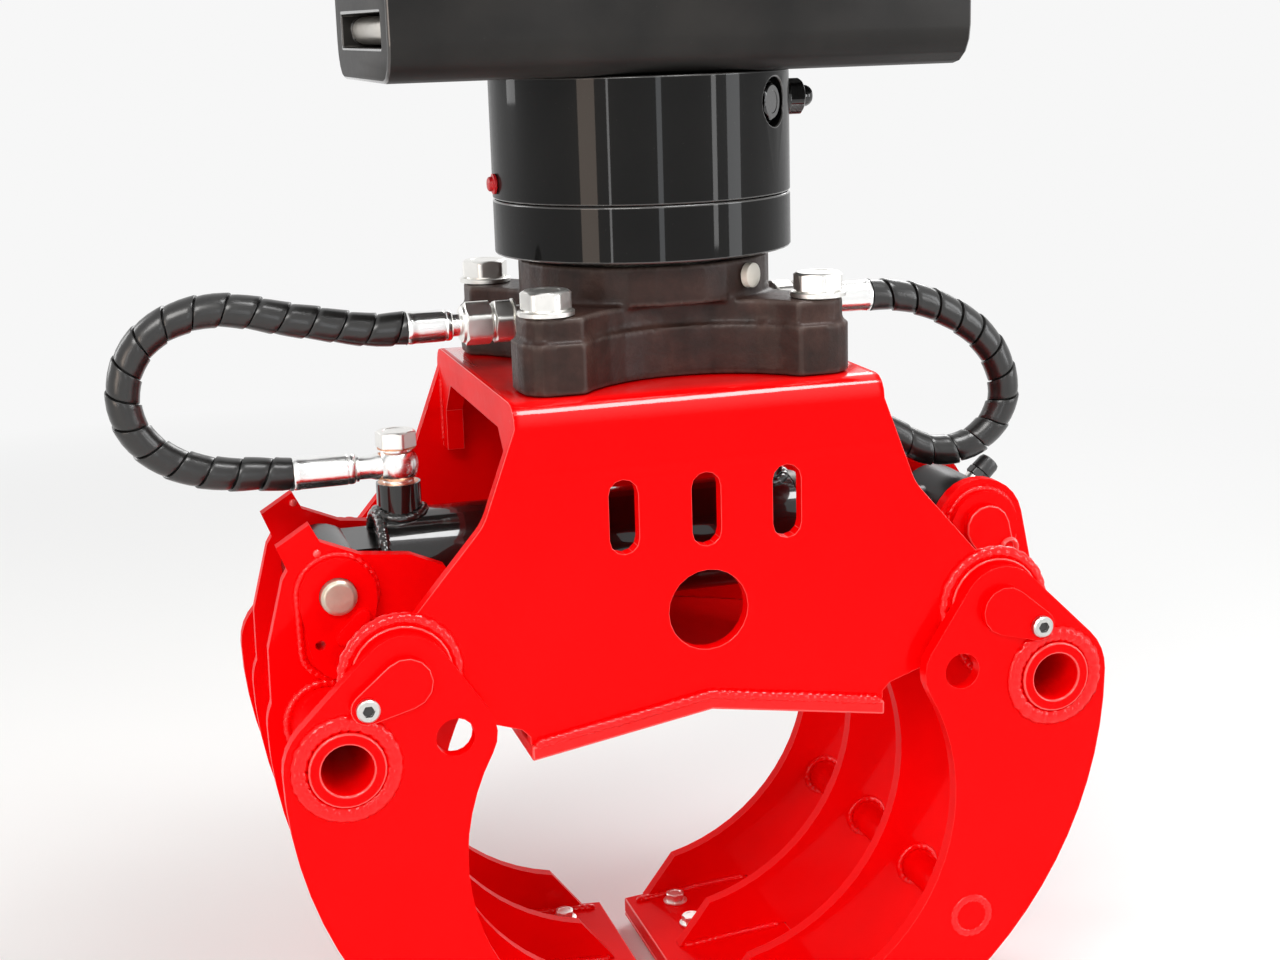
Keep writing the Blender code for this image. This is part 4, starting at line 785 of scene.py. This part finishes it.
def top_fittings():
    """A port adapter and a hose end on each side of the rotor's hub."""
    for side, sign in SIDES:
        out = (sign, 0, 0)

        def turned(*profile):
            return lathe("turned", profile, (0, 0, PORT_Z), out, ZINC)

        def nut(start, length, turn):
            return hex_form("nut", (sign * start, 0, PORT_Z), out, NUT_CORNER, length, ZINC,
                            both=True, turn=turn)

        adapter = [turned((0.0603, 0.0084), (0.0745, 0.0084), (0.0750, 0.0078), (0.0765, 0.0078)),
                   turned(*ring_profile(0.0755, 0.0013, 0.0110, 0.0122)),
                   nut(0.0768, 0.0109, 0.25), turned((0.0874, 0.0088), (0.0885, 0.0088))]
        dressed(f"port_adapter_{side}", adapter, "frame", "zinc")
        fitting = [nut(0.0888, 0.0150, 0.62 * sign),
                   turned((0.1036, 0.0104), (0.1052, 0.0100), (0.1064, 0.0085), (0.1068, 0.0068)),
                   ferrule((sign * 0.1060, 0, PORT_Z), out, 0.0298, 0.0048)]
        dressed(f"hose_fitting_top_{side}", fitting, "frame", "zinc")


BANJO_X = {"left": -0.145, "right": 0.0685}


BANJO_TOP_Z = -0.2932


def lower_fittings():
    """A banjo with its hollow bolt and two seals on each port of the barrel."""
    for side, sign in SIDES:
        x = BANJO_X[side]
        out = (sign, 0, 0)
        profile = []
        for k in range(19):
            a = -math.pi / 2 + math.pi * k / 18
            profile.append((0.00925 * math.sin(a), max(0.0088, 0.0118 * math.cos(a) ** 0.45)))
        ball = lathe("ball", profile, (x, 0, BANJO_Z), UP, CRIMPED)
        neck = lathe("neck", [(0.0085, 0.0078), (0.0125, 0.0074), (0.0150, 0.0066),
                              (0.0215, 0.0066), (0.0218, 0.0076), (0.0232, 0.0076)],
                     (x, 0, BANJO_Z), out, CRIMPED)
        sleeve = ferrule((x + sign * 0.0215, 0, BANJO_Z), out, 0.0358, 0.0020)
        dressed(f"hose_fitting_lower_{side}", [ball, neck, sleeve], "barrel", "zinc")
        top = (x, 0, BANJO_TOP_Z)
        seal_top = lathe("seal_top", ring_profile(0.0, 0.0012, 0.0098, 0.0106),
                         (x, 0, BANJO_TOP_Z + 0.00005), UP, COPPER)
        head = hex_form("head", (x, 0, BANJO_TOP_Z + 0.0012), UP, 0.0118, 0.0090, ZINC,
                        turn=0.2 + 0.3 * sign)
        shank = lathe("shank", [(-0.0310, 0.0056), (0.0012, 0.0056)], top, UP, ZINC)
        seal_low = lathe("seal_low", ring_profile(-0.0197, 0.0012, 0.0098, 0.0112), top, UP, COPPER)
        dressed(f"banjo_bolt_{side}", [head, seal_top, shank, seal_low], "barrel", "zinc")


top_fittings()
lower_fittings()


# Beam and rotator
refined("hanger_beam", BLACK_BEAM, "hanger", "black_paint", width=0.0012, segments=3,
        merge_flats=False)
BEAM_PIN_X = {"left": -0.1382, "right": 0.1448}
BEAM_PIN_HALF, SLEEVE = 0.0650, 0.0005
for side, x in BEAM_PIN_X.items():
    sleeve = ring_profile(0.0, 2 * BEAM_PIN_HALF, CROSS_PIN_R, CROSS_PIN_R + SLEEVE, rim=0.0010)
    give(lathe(f"beam_pin_{side}", sleeve, (x, -BEAM_PIN_HALF, BEAM_PIN_Z), (0, 1, 0), STEEL),
         "hanger", "steel")
refined("rotator_housing", BLACK, "hanger", "black_paint", width=0.0009)
refined("rotator_end_cover", BLACK, "hanger", "black_paint", width=0.0012)


ROTATOR_R, PLUG_Z, PLUG_DEPTH = 0.0825, -0.1118, 0.0068
LEFT_CAP_PLACE = (-0.0822, 0.0, -0.1520)
HUB_R, HUB_PLUG_Z = 0.0698, -0.2030


def rotator_details():
    """The plugs in the rotator's housing and hub, and the red cap on its left side."""
    out = Vector((1, -1, 0)).normalized()
    face = Vector((0, 0, PLUG_Z)) + out * ROTATOR_R
    socket = hex_form("socket", face - out * PLUG_DEPTH, out, 0.0105, 0.0052, BLACK_CYLINDER,
                      turn=0.4, bore=0.0048)
    rim = lathe("rim", [(-PLUG_DEPTH, 0.0126), (-0.0060, 0.0128), (-0.0056, 0.0118),
                        (-0.0060, 0.0104)], face, out, BLACK_WELD)
    dressed("rotator_plug_front", [socket, rim], "hanger", "black_paint")
    side = Vector((ROTATOR_R + 0.0003, 0, PLUG_Z))
    flange = lathe("flange", [(0.0, 0.0112), (0.0006, 0.0118), (0.0022, 0.0118),
                              (0.0030, 0.0108)], side, (1, 0, 0), BLACK_CYLINDER)
    head = hex_form("head", side + Vector((0.0028, 0, 0)), (1, 0, 0), 0.0105, 0.0092,
                    BLACK_CYLINDER, turn=0.3)
    nose = lathe("nose", [(0.0118, 0.0062), (0.0150, 0.0060), (0.0168, 0.0052), (0.0180, 0.0040)],
                 side, (1, 0, 0), BLACK_CYLINDER)
    dressed("rotator_plug_side", [flange, head, nose], "hanger", "black_paint")
    cap = lathe("rotator_cap_left", [(0.0, 0.0050), (0.0006, 0.0056), (0.0018, 0.0056),
                                     (0.0022, 0.0042), (0.0040, 0.0038), (0.0046, 0.0028)],
                LEFT_CAP_PLACE, (-1, 0, 0), RED_CAP)
    give(cap, "hanger", "red_paint")
    low = Vector((0.042, -0.0565, 0)).normalized()
    plug = lathe("hub_plug", [(0.0, 0.0060), (0.0006, 0.0068), (0.0042, 0.0066), (0.0050, 0.0050)],
                 Vector((0, 0, HUB_PLUG_Z)) + low * HUB_R, low, PALE_CAP)
    give(plug, "frame", "zinc")


rotator_details()


def flange_casting():
    """The cast flange: its edges are rounded off all over, as a casting's are."""
    made = node_copy("rotator_flange", "rotator_flange_casting", CAST)
    remesh = made.modifiers.new("cast", "REMESH")
    remesh.mode, remesh.voxel_size = "VOXEL", 0.0014
    remesh.use_smooth_shade = True
    smooth = made.modifiers.new("round", "SMOOTH")
    smooth.factor, smooth.iterations = 0.5, 4
    give(made, "frame", "cast_black", "rotator_flange")


flange_casting()


BOLT_SEAT_Z = -0.2144


def flange_bolts():
    """Bolt heads on hardened washers, on the square of bolts through the flange."""
    for k in range(1, 5):
        low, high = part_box(f"flange_bolt_{k}")
        x, y = (low.x + high.x) / 2, (low.y + high.y) / 2
        place = (x, y, BOLT_SEAT_Z)
        washer = lathe("washer", [(0.0, 0.0138), (0.0003, 0.0148), (0.0024, 0.0149),
                                  (0.0029, 0.0142), (0.0029, 0.0105)], place, UP, ZINC)
        seat = lathe("seat", [(0.0029, 0.0116), (0.0036, 0.0116)], place, UP, ZINC)
        head = hex_form("head", (x, y, BOLT_SEAT_Z + 0.0036), UP, 0.01386, 0.0096, ZINC,
                        turn=0.35 + 0.7 * k)
        shank = lathe("shank", [(-0.0450, 0.0078), (0.0036, 0.0078)], place, UP, ZINC, segments=32)
        dressed(f"flange_bolt_{k}", [head, washer, seat, shank], "frame", "zinc")


flange_bolts()


# Frame
refined("frame_channel", RED_FRAME, "frame", "red_paint", width=0.0008)
refined("frame_bottom_plate", RED_LIP, "frame", "red_paint", width=0.0012, segments=3)
for corner in ("left_front", "left_rear", "right_front", "right_rear"):
    refined(f"pivot_boss_{corner}", RED, "frame", "red_paint", width=0.0008)


BOTTOM_TOP_Z, BOTTOM_DROP, BOTTOM_HALF = -0.420, 0.016, 0.0996


def bottom_top(x):
    """The height of the bottom plate's upper face."""
    return BOTTOM_TOP_Z - BOTTOM_DROP * abs(x) / BOTTOM_HALF


LIP_END_X, LIP_Y = 0.0985, 0.1056
RIB_X, RIB_TOP_Z, RIB_FOOT_Z = 0.1002, -0.272, -0.313
BOSS_WELD_R = 0.0288


def frame_welds():
    """The beads along the bottom plate, round the bosses and down the end ribs."""
    for k, (where, y) in enumerate(ENDS):
        path = [(x, y * LIP_Y, bottom_top(x) + 0.0002)
                for x in np.linspace(-LIP_END_X, LIP_END_X, 41)]
        bead(f"weld_bottom_lip_{where}", path, 0.0030, 0.0029, (0, y * 0.5, 1), "frame",
             pitch=0.0048, seed=11 + k)
        for side, sign in SIDES:
            centre = (sign * PIVOT_X, y * (FRAME_FACE + 0.0001), PIVOT_Z)
            bead(f"weld_boss_{side}_{where}", ring_path(centre, BOSS_WELD_R), 0.0040, 0.0036,
                 (0, y, 0), "frame", closed=True, pitch=0.0065, seed=21 + k)
            leg = [(sign * RIB_X, y * (FRAME_INSIDE - 0.0001), z)
                   for z in np.linspace(RIB_TOP_Z, RIB_FOOT_Z, 12)]
            bead(f"weld_rib_{side}_{where}", leg, 0.0022, 0.0022, (sign, -y, 0), "frame",
                 pitch=0.004, seed=31 + k)


frame_welds()


# Jaws
JAW_NODES = ["outer_plate_front", "outer_plate_rear", "lever_plate_front", "lever_plate_rear",
             "torsion_tube", "cross_bar", "edge_plate", "knife", "pivot_pin_front",
             "pivot_pin_rear"]


EDGE_INNER_X, EDGE_TOP_Z, EDGE_RISE, EDGE_RUN = 0.0085, -0.6395, 0.0062, 0.084


def edge_top(x):
    """The height of an edge plate's upper face, for a distance from the middle."""
    return EDGE_TOP_Z + EDGE_RISE * (abs(x) - EDGE_INNER_X) / EDGE_RUN


def capsule_path(x0, z0, r0, x1, z1, r1, y, count=18):
    """The outline of two circles and their common tangents, in a plane of constant Y."""
    d = Vector((x1 - x0, z1 - z0))
    angle, length = math.atan2(d.y, d.x), d.length
    lean = math.acos((r0 - r1) / length)
    points = []
    for x, z, r, first, sweep in ((x0, z0, r0, angle + lean, math.tau - 2 * lean),
                                  (x1, z1, r1, angle - lean, 2 * lean)):
        for k in range(count + 1):
            a = first + sweep * k / count
            points.append((x + r * math.cos(a), y, z + r * math.sin(a)))
    return points


# The rings of weld round a jaw's tubes: group, distance from the middle, radius of the ring,
# width, height, side of the plate and pitch
WELD_RINGS = (
    ("tube", JAW_FACE - 0.0002, TUBE_R + 0.0042, 0.0048, 0.0030, 1, 0.0060),
    ("tube", JAW_INSIDE, TUBE_R + 0.0018, 0.0030, 0.0030, -1, 0.0046),
    ("tube", LEVER_FACE, TUBE_R + 0.0016, 0.0028, 0.0028, 1, 0.0046),
    ("tube", LEVER_INSIDE, TUBE_R + 0.0016, 0.0028, 0.0028, -1, 0.0046),
    ("bar", JAW_FACE - 0.0006, BAR_R + 0.0006, 0.0024, 0.0013, 1, 0.004),
    ("bar", JAW_INSIDE, BAR_R + 0.0012, 0.0024, 0.0024, -1, 0.004),
    ("bar", LEVER_FACE, BAR_R + 0.0012, 0.0022, 0.0022, 1, 0.004),
    ("bar", LEVER_INSIDE, BAR_R + 0.0012, 0.0022, 0.0022, -1, 0.004))


def jaw_welds(side, sign):
    """The beads of one jaw, joined into one piece for each group."""
    parts = {"tube": [], "bar": [], "rib": [], "edge": []}
    middles = {"tube": (sign * TUBE_X, TUBE_Z), "bar": (sign * BAR_X, BAR_Z)}
    seed = 40 if sign < 0 else 140

    def add(group, path, width, height, up, closed=False, pitch=0.0046):
        number = len(parts[group])
        parts[group].append(bead(f"{group}_{number}", path, width, height, up, closed=closed,
                                 pitch=pitch, seed=seed + number + 7 * len(group)))

    def along_edge(first, last, count, level):
        return [(sign * x, y * level, edge_top(x) + 0.0004) for x in np.linspace(first, last, count)]

    for _, y in ENDS:
        for group, level, radius, width, height, face, pitch in WELD_RINGS:
            x, z = middles[group]
            add(group, ring_path((x, y * level, z), radius), width, height, (0, face * y, 0), True,
                pitch)
        add("rib", capsule_path(sign * LEVER_X, LEVER_Z, 0.0212, sign * (LEVER_X + 0.0045),
                                LEVER_Z - 0.0297, 0.0162, y * LEVER_FACE), 0.0022, 0.0022,
            (0, y, 0), True, 0.004)
        for level, face in ((LEVER_FACE, 1), (LEVER_INSIDE, -1)):
            add("edge", along_edge(0.0240, 0.088, 14, level + face * 0.0006), 0.0026, 0.0026,
                (0, face * y, 1))
        add("edge", along_edge(0.014, 0.090, 16, JAW_INSIDE - 0.0008), 0.0026, 0.0026, (0, -y, 1))
    for group, beads in parts.items():
        give(joined(f"{side}_jaw_weld_{group}", beads), f"{side}_jaw", "red_paint")


LIP_BOLT_X, LIP_BOLT_Y = 0.038, (-0.097, -0.062, 0.062, 0.097)
PIN_SCREW_X, PIN_SCREW_Y, PIN_SCREW_Z = 0.186, 0.1229, -0.3985


def screw_socket(angle, r):
    """The rows inside a screw's head are its hexagon socket."""
    return hex_radius(angle, r * 1.02) if r < 0.0035 else r


def jaw_fasteners(side, sign):
    """A screw beside each pivot pin, and the bolts along the edge plate."""
    body = f"{side}_jaw"
    for where, y in ENDS:
        place, out = (sign * PIN_SCREW_X, y * PIN_SCREW_Y, PIN_SCREW_Z), (0, y, 0)
        head = lathe("head", [(0.0, 0.0058), (0.0002, 0.0060), (0.0030, 0.0060),
                              (0.0038, 0.0052), (0.0038, 0.0032), (0.0020, 0.0030)],
                     place, out, SCREW, shape=screw_socket)
        # A black disc at the bottom of the socket: painted shade in the socket's depth
        shaded_recess = lathe("shaded_recess", [(0.0019, 0.0020), (0.0021, 0.0028)], place, out, BLACK_CAP,
                       segments=24)
        shank = lathe("shank", [(-0.0052, 0.0038), (0.0, 0.0038)], place, out, ZINC, segments=28)
        dressed(f"{side}_jaw_pin_screw_{where}", [head, shaded_recess, shank], body, "zinc")
    x, z = sign * LIP_BOLT_X, edge_top(LIP_BOLT_X)
    for k, y in enumerate(LIP_BOLT_Y):
        washer = lathe("washer", [(0.0, 0.0072), (0.0002, 0.0078), (0.0012, 0.0078),
                                  (0.0014, 0.0070)], (x, y, z - 0.0001), UP, ZINC)
        head = hex_form("head", (x, y, z + 0.0013), UP, 0.0064, 0.0048, ZINC,
                        turn=0.5 * k + sign)
        give(joined(f"{side}_jaw_lip_bolt_{k + 1}", [washer, head]), body, "zinc")


def bar(name, outline, y0, y1, material):
    """A small flat bar with softened rims: an outline in X and Z, from one Y to another."""
    rim = 0.0008
    middle = np.mean(outline, axis=0)
    low, high = min(y0, y1), max(y0, y1)
    levels = ((low, rim), (low + rim * 0.3, rim * 0.3), (low + rim, 0.0), (high - rim, 0.0),
              (high - rim * 0.3, rim * 0.3), (high, rim))
    vertices = []
    for y, inset in levels:
        for q in outline:
            d = np.array(q) - middle
            d = d * (1 - inset / np.linalg.norm(d))
            vertices.append((middle[0] + d[0], y, middle[1] + d[1]))
    faces = between_rings(len(levels), len(outline)) + end_faces(len(levels), len(outline))
    return mesh_object(name, vertices, faces, material, 30)


def capsule(a, b, radius):
    """A rounded slot's outline round the line from a to b, in X and Z."""
    return [(x, z) for x, _, z in capsule_path(a[0], a[1], radius, b[0], b[1], radius * 0.999,
                                               0, 12)]


# Places on a lever plate, as (distance from the middle, height)
HOLE, HOLE_R = ((0.1990, -0.3860), (0.1991, -0.3860)), 0.0028
SLOT, SLOT_R = ((0.1842, -0.3935), (0.1842, -0.4035)), 0.0022
TAIL_LUG, LUG_R = ((0.2020, -0.3790), (0.2125, -0.3870)), 0.0042
PIN_LUG = ((0.1868, -0.3825), (0.1760, -0.3720))
# How far from the part's middle plane the cutters and the two lugs begin and end
CUT_Y, TAIL_LUG_Y, PIN_LUG_Y = (0.030, 0.056), (0.0430, 0.0545), (0.0428, 0.0530)
# Tack welds, as (distance from the middle, distance from the middle plane, height)
TAIL_TACKS = ((0.1998, 0.0351, -0.3270),)
PIN_TACKS = ((0.1970, 0.0429, -0.3371), (0.2005, 0.0429, -0.3433))


def flat_bar(name, places, radius, span, sign, y):
    """A round-ended bar between two places on one jaw's lever plate."""
    a, b = ((sign * x, z) for x, z in places)
    return bar(name, capsule(a, b, radius), y * span[0], y * span[1], RED)


def lever_holes(sign, y):
    """The small round hole and the slot in a lever plate, as cutters."""
    return [flat_bar("cut", places, radius, CUT_Y, sign, y)
            for places, radius in ((HOLE, HOLE_R), (SLOT, SLOT_R))]


CLIP_X, CLIP_Z, CLIP_R, CLIP_LEG = 0.2010, -0.3722, 0.0046, 0.0070
TACK = [(-0.0006, 0.0021), (0.0004, 0.0021), (0.0010, 0.0015), (0.0014, 0.0006)]


def wire_clip(sign, y):
    """A bent wire that stands on the lug."""
    x = sign * CLIP_X
    bow = [(x + CLIP_R * math.cos(t), y * 0.0552, CLIP_Z + CLIP_R * math.sin(t))
           for t in np.linspace(0, math.pi, 13)]
    start, end = ((x + foot, y * 0.0540, CLIP_Z - CLIP_LEG) for foot in (CLIP_R, -CLIP_R))
    # The wire takes the pale edge paint, a painted highlight along it
    return round_tube("clip", [Vector(q) for q in (start, *bow, end)], 0.0013, RED_EDGE_HIGHLIGHT, 8)


def jaw_lugs(side, sign):
    """The small bar under the cylinder pin, and the lug with its wire clip at the flag's tail.
    The left jaw's lever plates also have tack welds on their horns."""
    for where, y in ENDS:
        if (sign > 0) == (y < 0):
            parts = [flat_bar("lug", TAIL_LUG, LUG_R, TAIL_LUG_Y, sign, y), wire_clip(sign, y)]
            tacks, out = TAIL_TACKS, -y
        else:
            (ax, az), (bx, bz) = PIN_LUG
            ring = capsule_path(sign * ax, az, LUG_R + 0.0006, sign * bx, bz, LUG_R + 0.00059,
                                y * 0.0440)
            parts = [flat_bar("lug", PIN_LUG, LUG_R, PIN_LUG_Y, sign, y),
                     bead("lug_weld", ring, 0.0016, 0.0020, (0, y, 0), closed=True, pitch=0.003,
                          seed=71)]
            tacks, out = PIN_TACKS, y
        if side == "left":
            # The tacks take the pale edge paint: painted glints
            parts += [lathe("tack", TACK, (sign * x, y * level, z), (0, out, 0), RED_EDGE_HIGHLIGHT,
                            segments=20) for x, level, z in tacks]
        give(joined(f"{side}_jaw_lug_{where}", parts), f"{side}_jaw", "red_paint")


for side, sign in SIDES:
    for node in JAW_NODES:
        width = {"torsion_tube": 0.0010, "knife": 0.0006}.get(node, 0.0008)
        y = -1 if node.endswith("front") else 1
        cuts = lever_holes(sign, y) if node.startswith("lever_plate") else ()
        refined(f"{side}_jaw_{node}", RED, f"{side}_jaw", "red_paint", width=width, cuts=cuts)
    jaw_lugs(side, sign)
    jaw_welds(side, sign)
    jaw_fasteners(side, sign)
refined("left_jaw_cylinder_pin", PIN_STEEL, "left_jaw", "steel", width=0.0008)
refined("right_jaw_cylinder_pin", RED, "right_jaw", "red_paint", width=0.0008)


# Cylinder
refined("cylinder_barrel", BLACK_CYLINDER, "barrel", "black_paint", width=0.0008)
refined("cylinder_gland", GLAND_PAINTED_SHADE, "barrel", "steel", width=0.0006)
refined("cylinder_rod", CHROME, "rod", "chrome", width=0.0007)


BARREL_END_X, BARREL_R, PORT_WELD_R = -0.1578, 0.0322, 0.0133


def cylinder_welds():
    """The beads round the barrel's base and round its two ports."""
    base = (BARREL_END_X, 0, LEVER_Z)
    bead("weld_barrel_base", ring_path(base, 0.0305, "x"), 0.0032, 0.0030,
         lambda p: (p - np.array(base)) + np.array((-0.01, 0, 0)), "barrel", BLACK_WELD,
         closed=True, pitch=0.005, seed=61)
    for side, x in BANJO_X.items():
        ring = []
        for angle in np.linspace(0, math.tau, 72, endpoint=False):
            y = PORT_WELD_R * math.sin(angle)
            ring.append((x + PORT_WELD_R * math.cos(angle), y,
                         LEVER_Z + math.sqrt(BARREL_R ** 2 - y ** 2)))
        bead(f"weld_port_{side}", ring, 0.0026, 0.0026, UP, "barrel", BLACK_WELD, closed=True,
             pitch=0.0045, seed=65)


cylinder_welds()


ROD_EYE_R = 0.0212


def grease_cap():
    """A greasing point with its black cap, on the shoulder of the rod's eye."""
    out = Vector((0.72, 0.0, 0.69)).normalized()
    root = Vector((LEVER_X, 0, LEVER_Z)) + out * ROD_EYE_R
    seat = lathe("seat", [(0.0, 0.0058), (0.0030, 0.0058), (0.0034, 0.0050)], root, out, ZINC)
    hexagon = hex_form("hex", root + out * 0.0030, out, 0.0074, 0.0050, BLACK_CAP, both=True)
    cap = lathe("cap", [(0.0078, 0.0060), (0.0084, 0.0068), (0.0150, 0.0066), (0.0170, 0.0058),
                        (0.0178, 0.0040)], root, out, BLACK_CAP)
    give(joined("rod_grease_cap", [seat, hexagon, cap]), "rod", "black_paint")


grease_cap()

# The parts inside keep their CAD shape and take a finish
for node, material in (("rotator_bearing", BRONZE), ("rotator_seal", SEAL),
                       ("rotor_shaft", STEEL), ("cylinder_piston", STEEL)):
    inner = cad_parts[node]
    for place in inner.material_slots:
        place.material = material


# Floor and light
BACKGROUND = (0.93, 0.93, 0.93, 1)
FLOOR_R, FADE_FROM, FADE_TO = 9.0, 0.9, 2.2


def mixed(tree, factor, first, second, output):
    """Two shaders mixed by a factor, into the tree's output."""
    mix = tree.nodes.new("ShaderNodeMixShader")
    for value, socket in zip((factor, first, second), mix.inputs):
        put(socket, value)
    new_node(tree, output, Surface=mix.outputs["Shader"])


def make_floor():
    """A wide round floor that fades into the background far from the object."""
    mesh = bpy.data.meshes.new("floor")
    bm = bmesh.new()
    bmesh.ops.create_circle(bm, cap_ends=True, radius=FLOOR_R, segments=96)
    bmesh.ops.translate(bm, verts=bm.verts, vec=(0, 0, FLOOR_Z - 0.0005))
    bm.to_mesh(mesh)
    bm.free()
    material = bpy.data.materials.new("floor")
    material.use_nodes = True
    tree = material.node_tree
    tree.nodes.clear()
    shade = new_node(tree, "BsdfPrincipled", Base_Color=(0.86, 0.86, 0.85, 1), Roughness=0.75)
    glow = new_node(tree, "Emission", Color=BACKGROUND)
    where = new_node(tree, "TexCoord").outputs["Object"]
    length = new_node(tree, "VectorMath", Vector=where)
    length.operation = "LENGTH"
    fade = new_node(tree, "MapRange", From_Min=FADE_FROM, From_Max=FADE_TO,
                    Value=length.outputs["Value"])
    mixed(tree, fade.outputs["Result"], shade.outputs["BSDF"], glow.outputs["Emission"],
          "OutputMaterial")
    mesh.materials.append(material)
    linked("floor", mesh)


LIGHT_AIM = Vector((0, 0, -0.33))
# Name, place, width and height, power in watts and colour
LAMPS = (
    ("key", (-1.2, -1.9, 1.4), (1.2, 1.0), 38, (1.0, 0.985, 0.96)),
    ("fill", (1.9, -1.2, 0.2), (0.5, 1.5), 13, (0.96, 0.98, 1.0)),
    ("strip_left", (-1.75, -1.2, -0.1), (0.50, 0.9), 7, (1.0, 0.80, 0.66)),
    ("strip_narrow", (-1.35, -1.65, -0.1), (0.06, 0.9), 1.6, (1, 1, 1)),
    ("strip_middle", (-0.07, -2.1, -0.1), (0.14, 0.9), 2.0, (0.92, 0.96, 1.0)),
    ("strip_right", (1.5, -1.75, 0.0), (0.16, 0.9), 4, (1, 1, 1)),
    ("top", (0.43, -0.47, 1.2), (0.8, 0.45), 17, (1, 1, 1)),
    ("rim_left", (-1.7, 1.3, 0.5), (0.5, 1.5), 12, (1, 1, 1)),
    ("rim_right", (1.4, 1.9, 0.9), (1.1, 1.1), 20, (1, 1, 1)))


def area_light(name, place, size, power, colour):
    data = bpy.data.lights.new(name, "AREA")
    data.shape, data.size, data.size_y = "RECTANGLE", *size
    data.energy, data.color = power, colour
    light = linked(name, data)
    light.location = place
    light.rotation_mode = "QUATERNION"
    light.rotation_quaternion = (LIGHT_AIM - Vector(place)).to_track_quat("-Z", "Y")


def make_light():
    """A pale world, a little brighter where it is seen than where it lights, and soft lamps."""
    world = bpy.data.worlds.new("world")
    scene.world = world
    world.use_nodes = True
    tree = world.node_tree
    tree.nodes.clear()
    light = new_node(tree, "Background", Color=(0.96, 0.98, 1.0, 1), Strength=0.30)
    seen = new_node(tree, "Background", Color=BACKGROUND)
    rays = new_node(tree, "LightPath").outputs
    either = rays["Is Camera Ray"]
    for ray in ("Is Glossy Ray", "Is Transmission Ray"):
        most = tree.nodes.new("ShaderNodeMath")
        most.operation = "MAXIMUM"
        put(most.inputs[0], either)
        put(most.inputs[1], rays[ray])
        either = most.outputs["Value"]
    mixed(tree, either, light.outputs["Background"], seen.outputs["Background"], "OutputWorld")
    for lamp in LAMPS:
        area_light(*lamp)


make_floor()
make_light()
scene.view_settings.view_transform = "Standard"
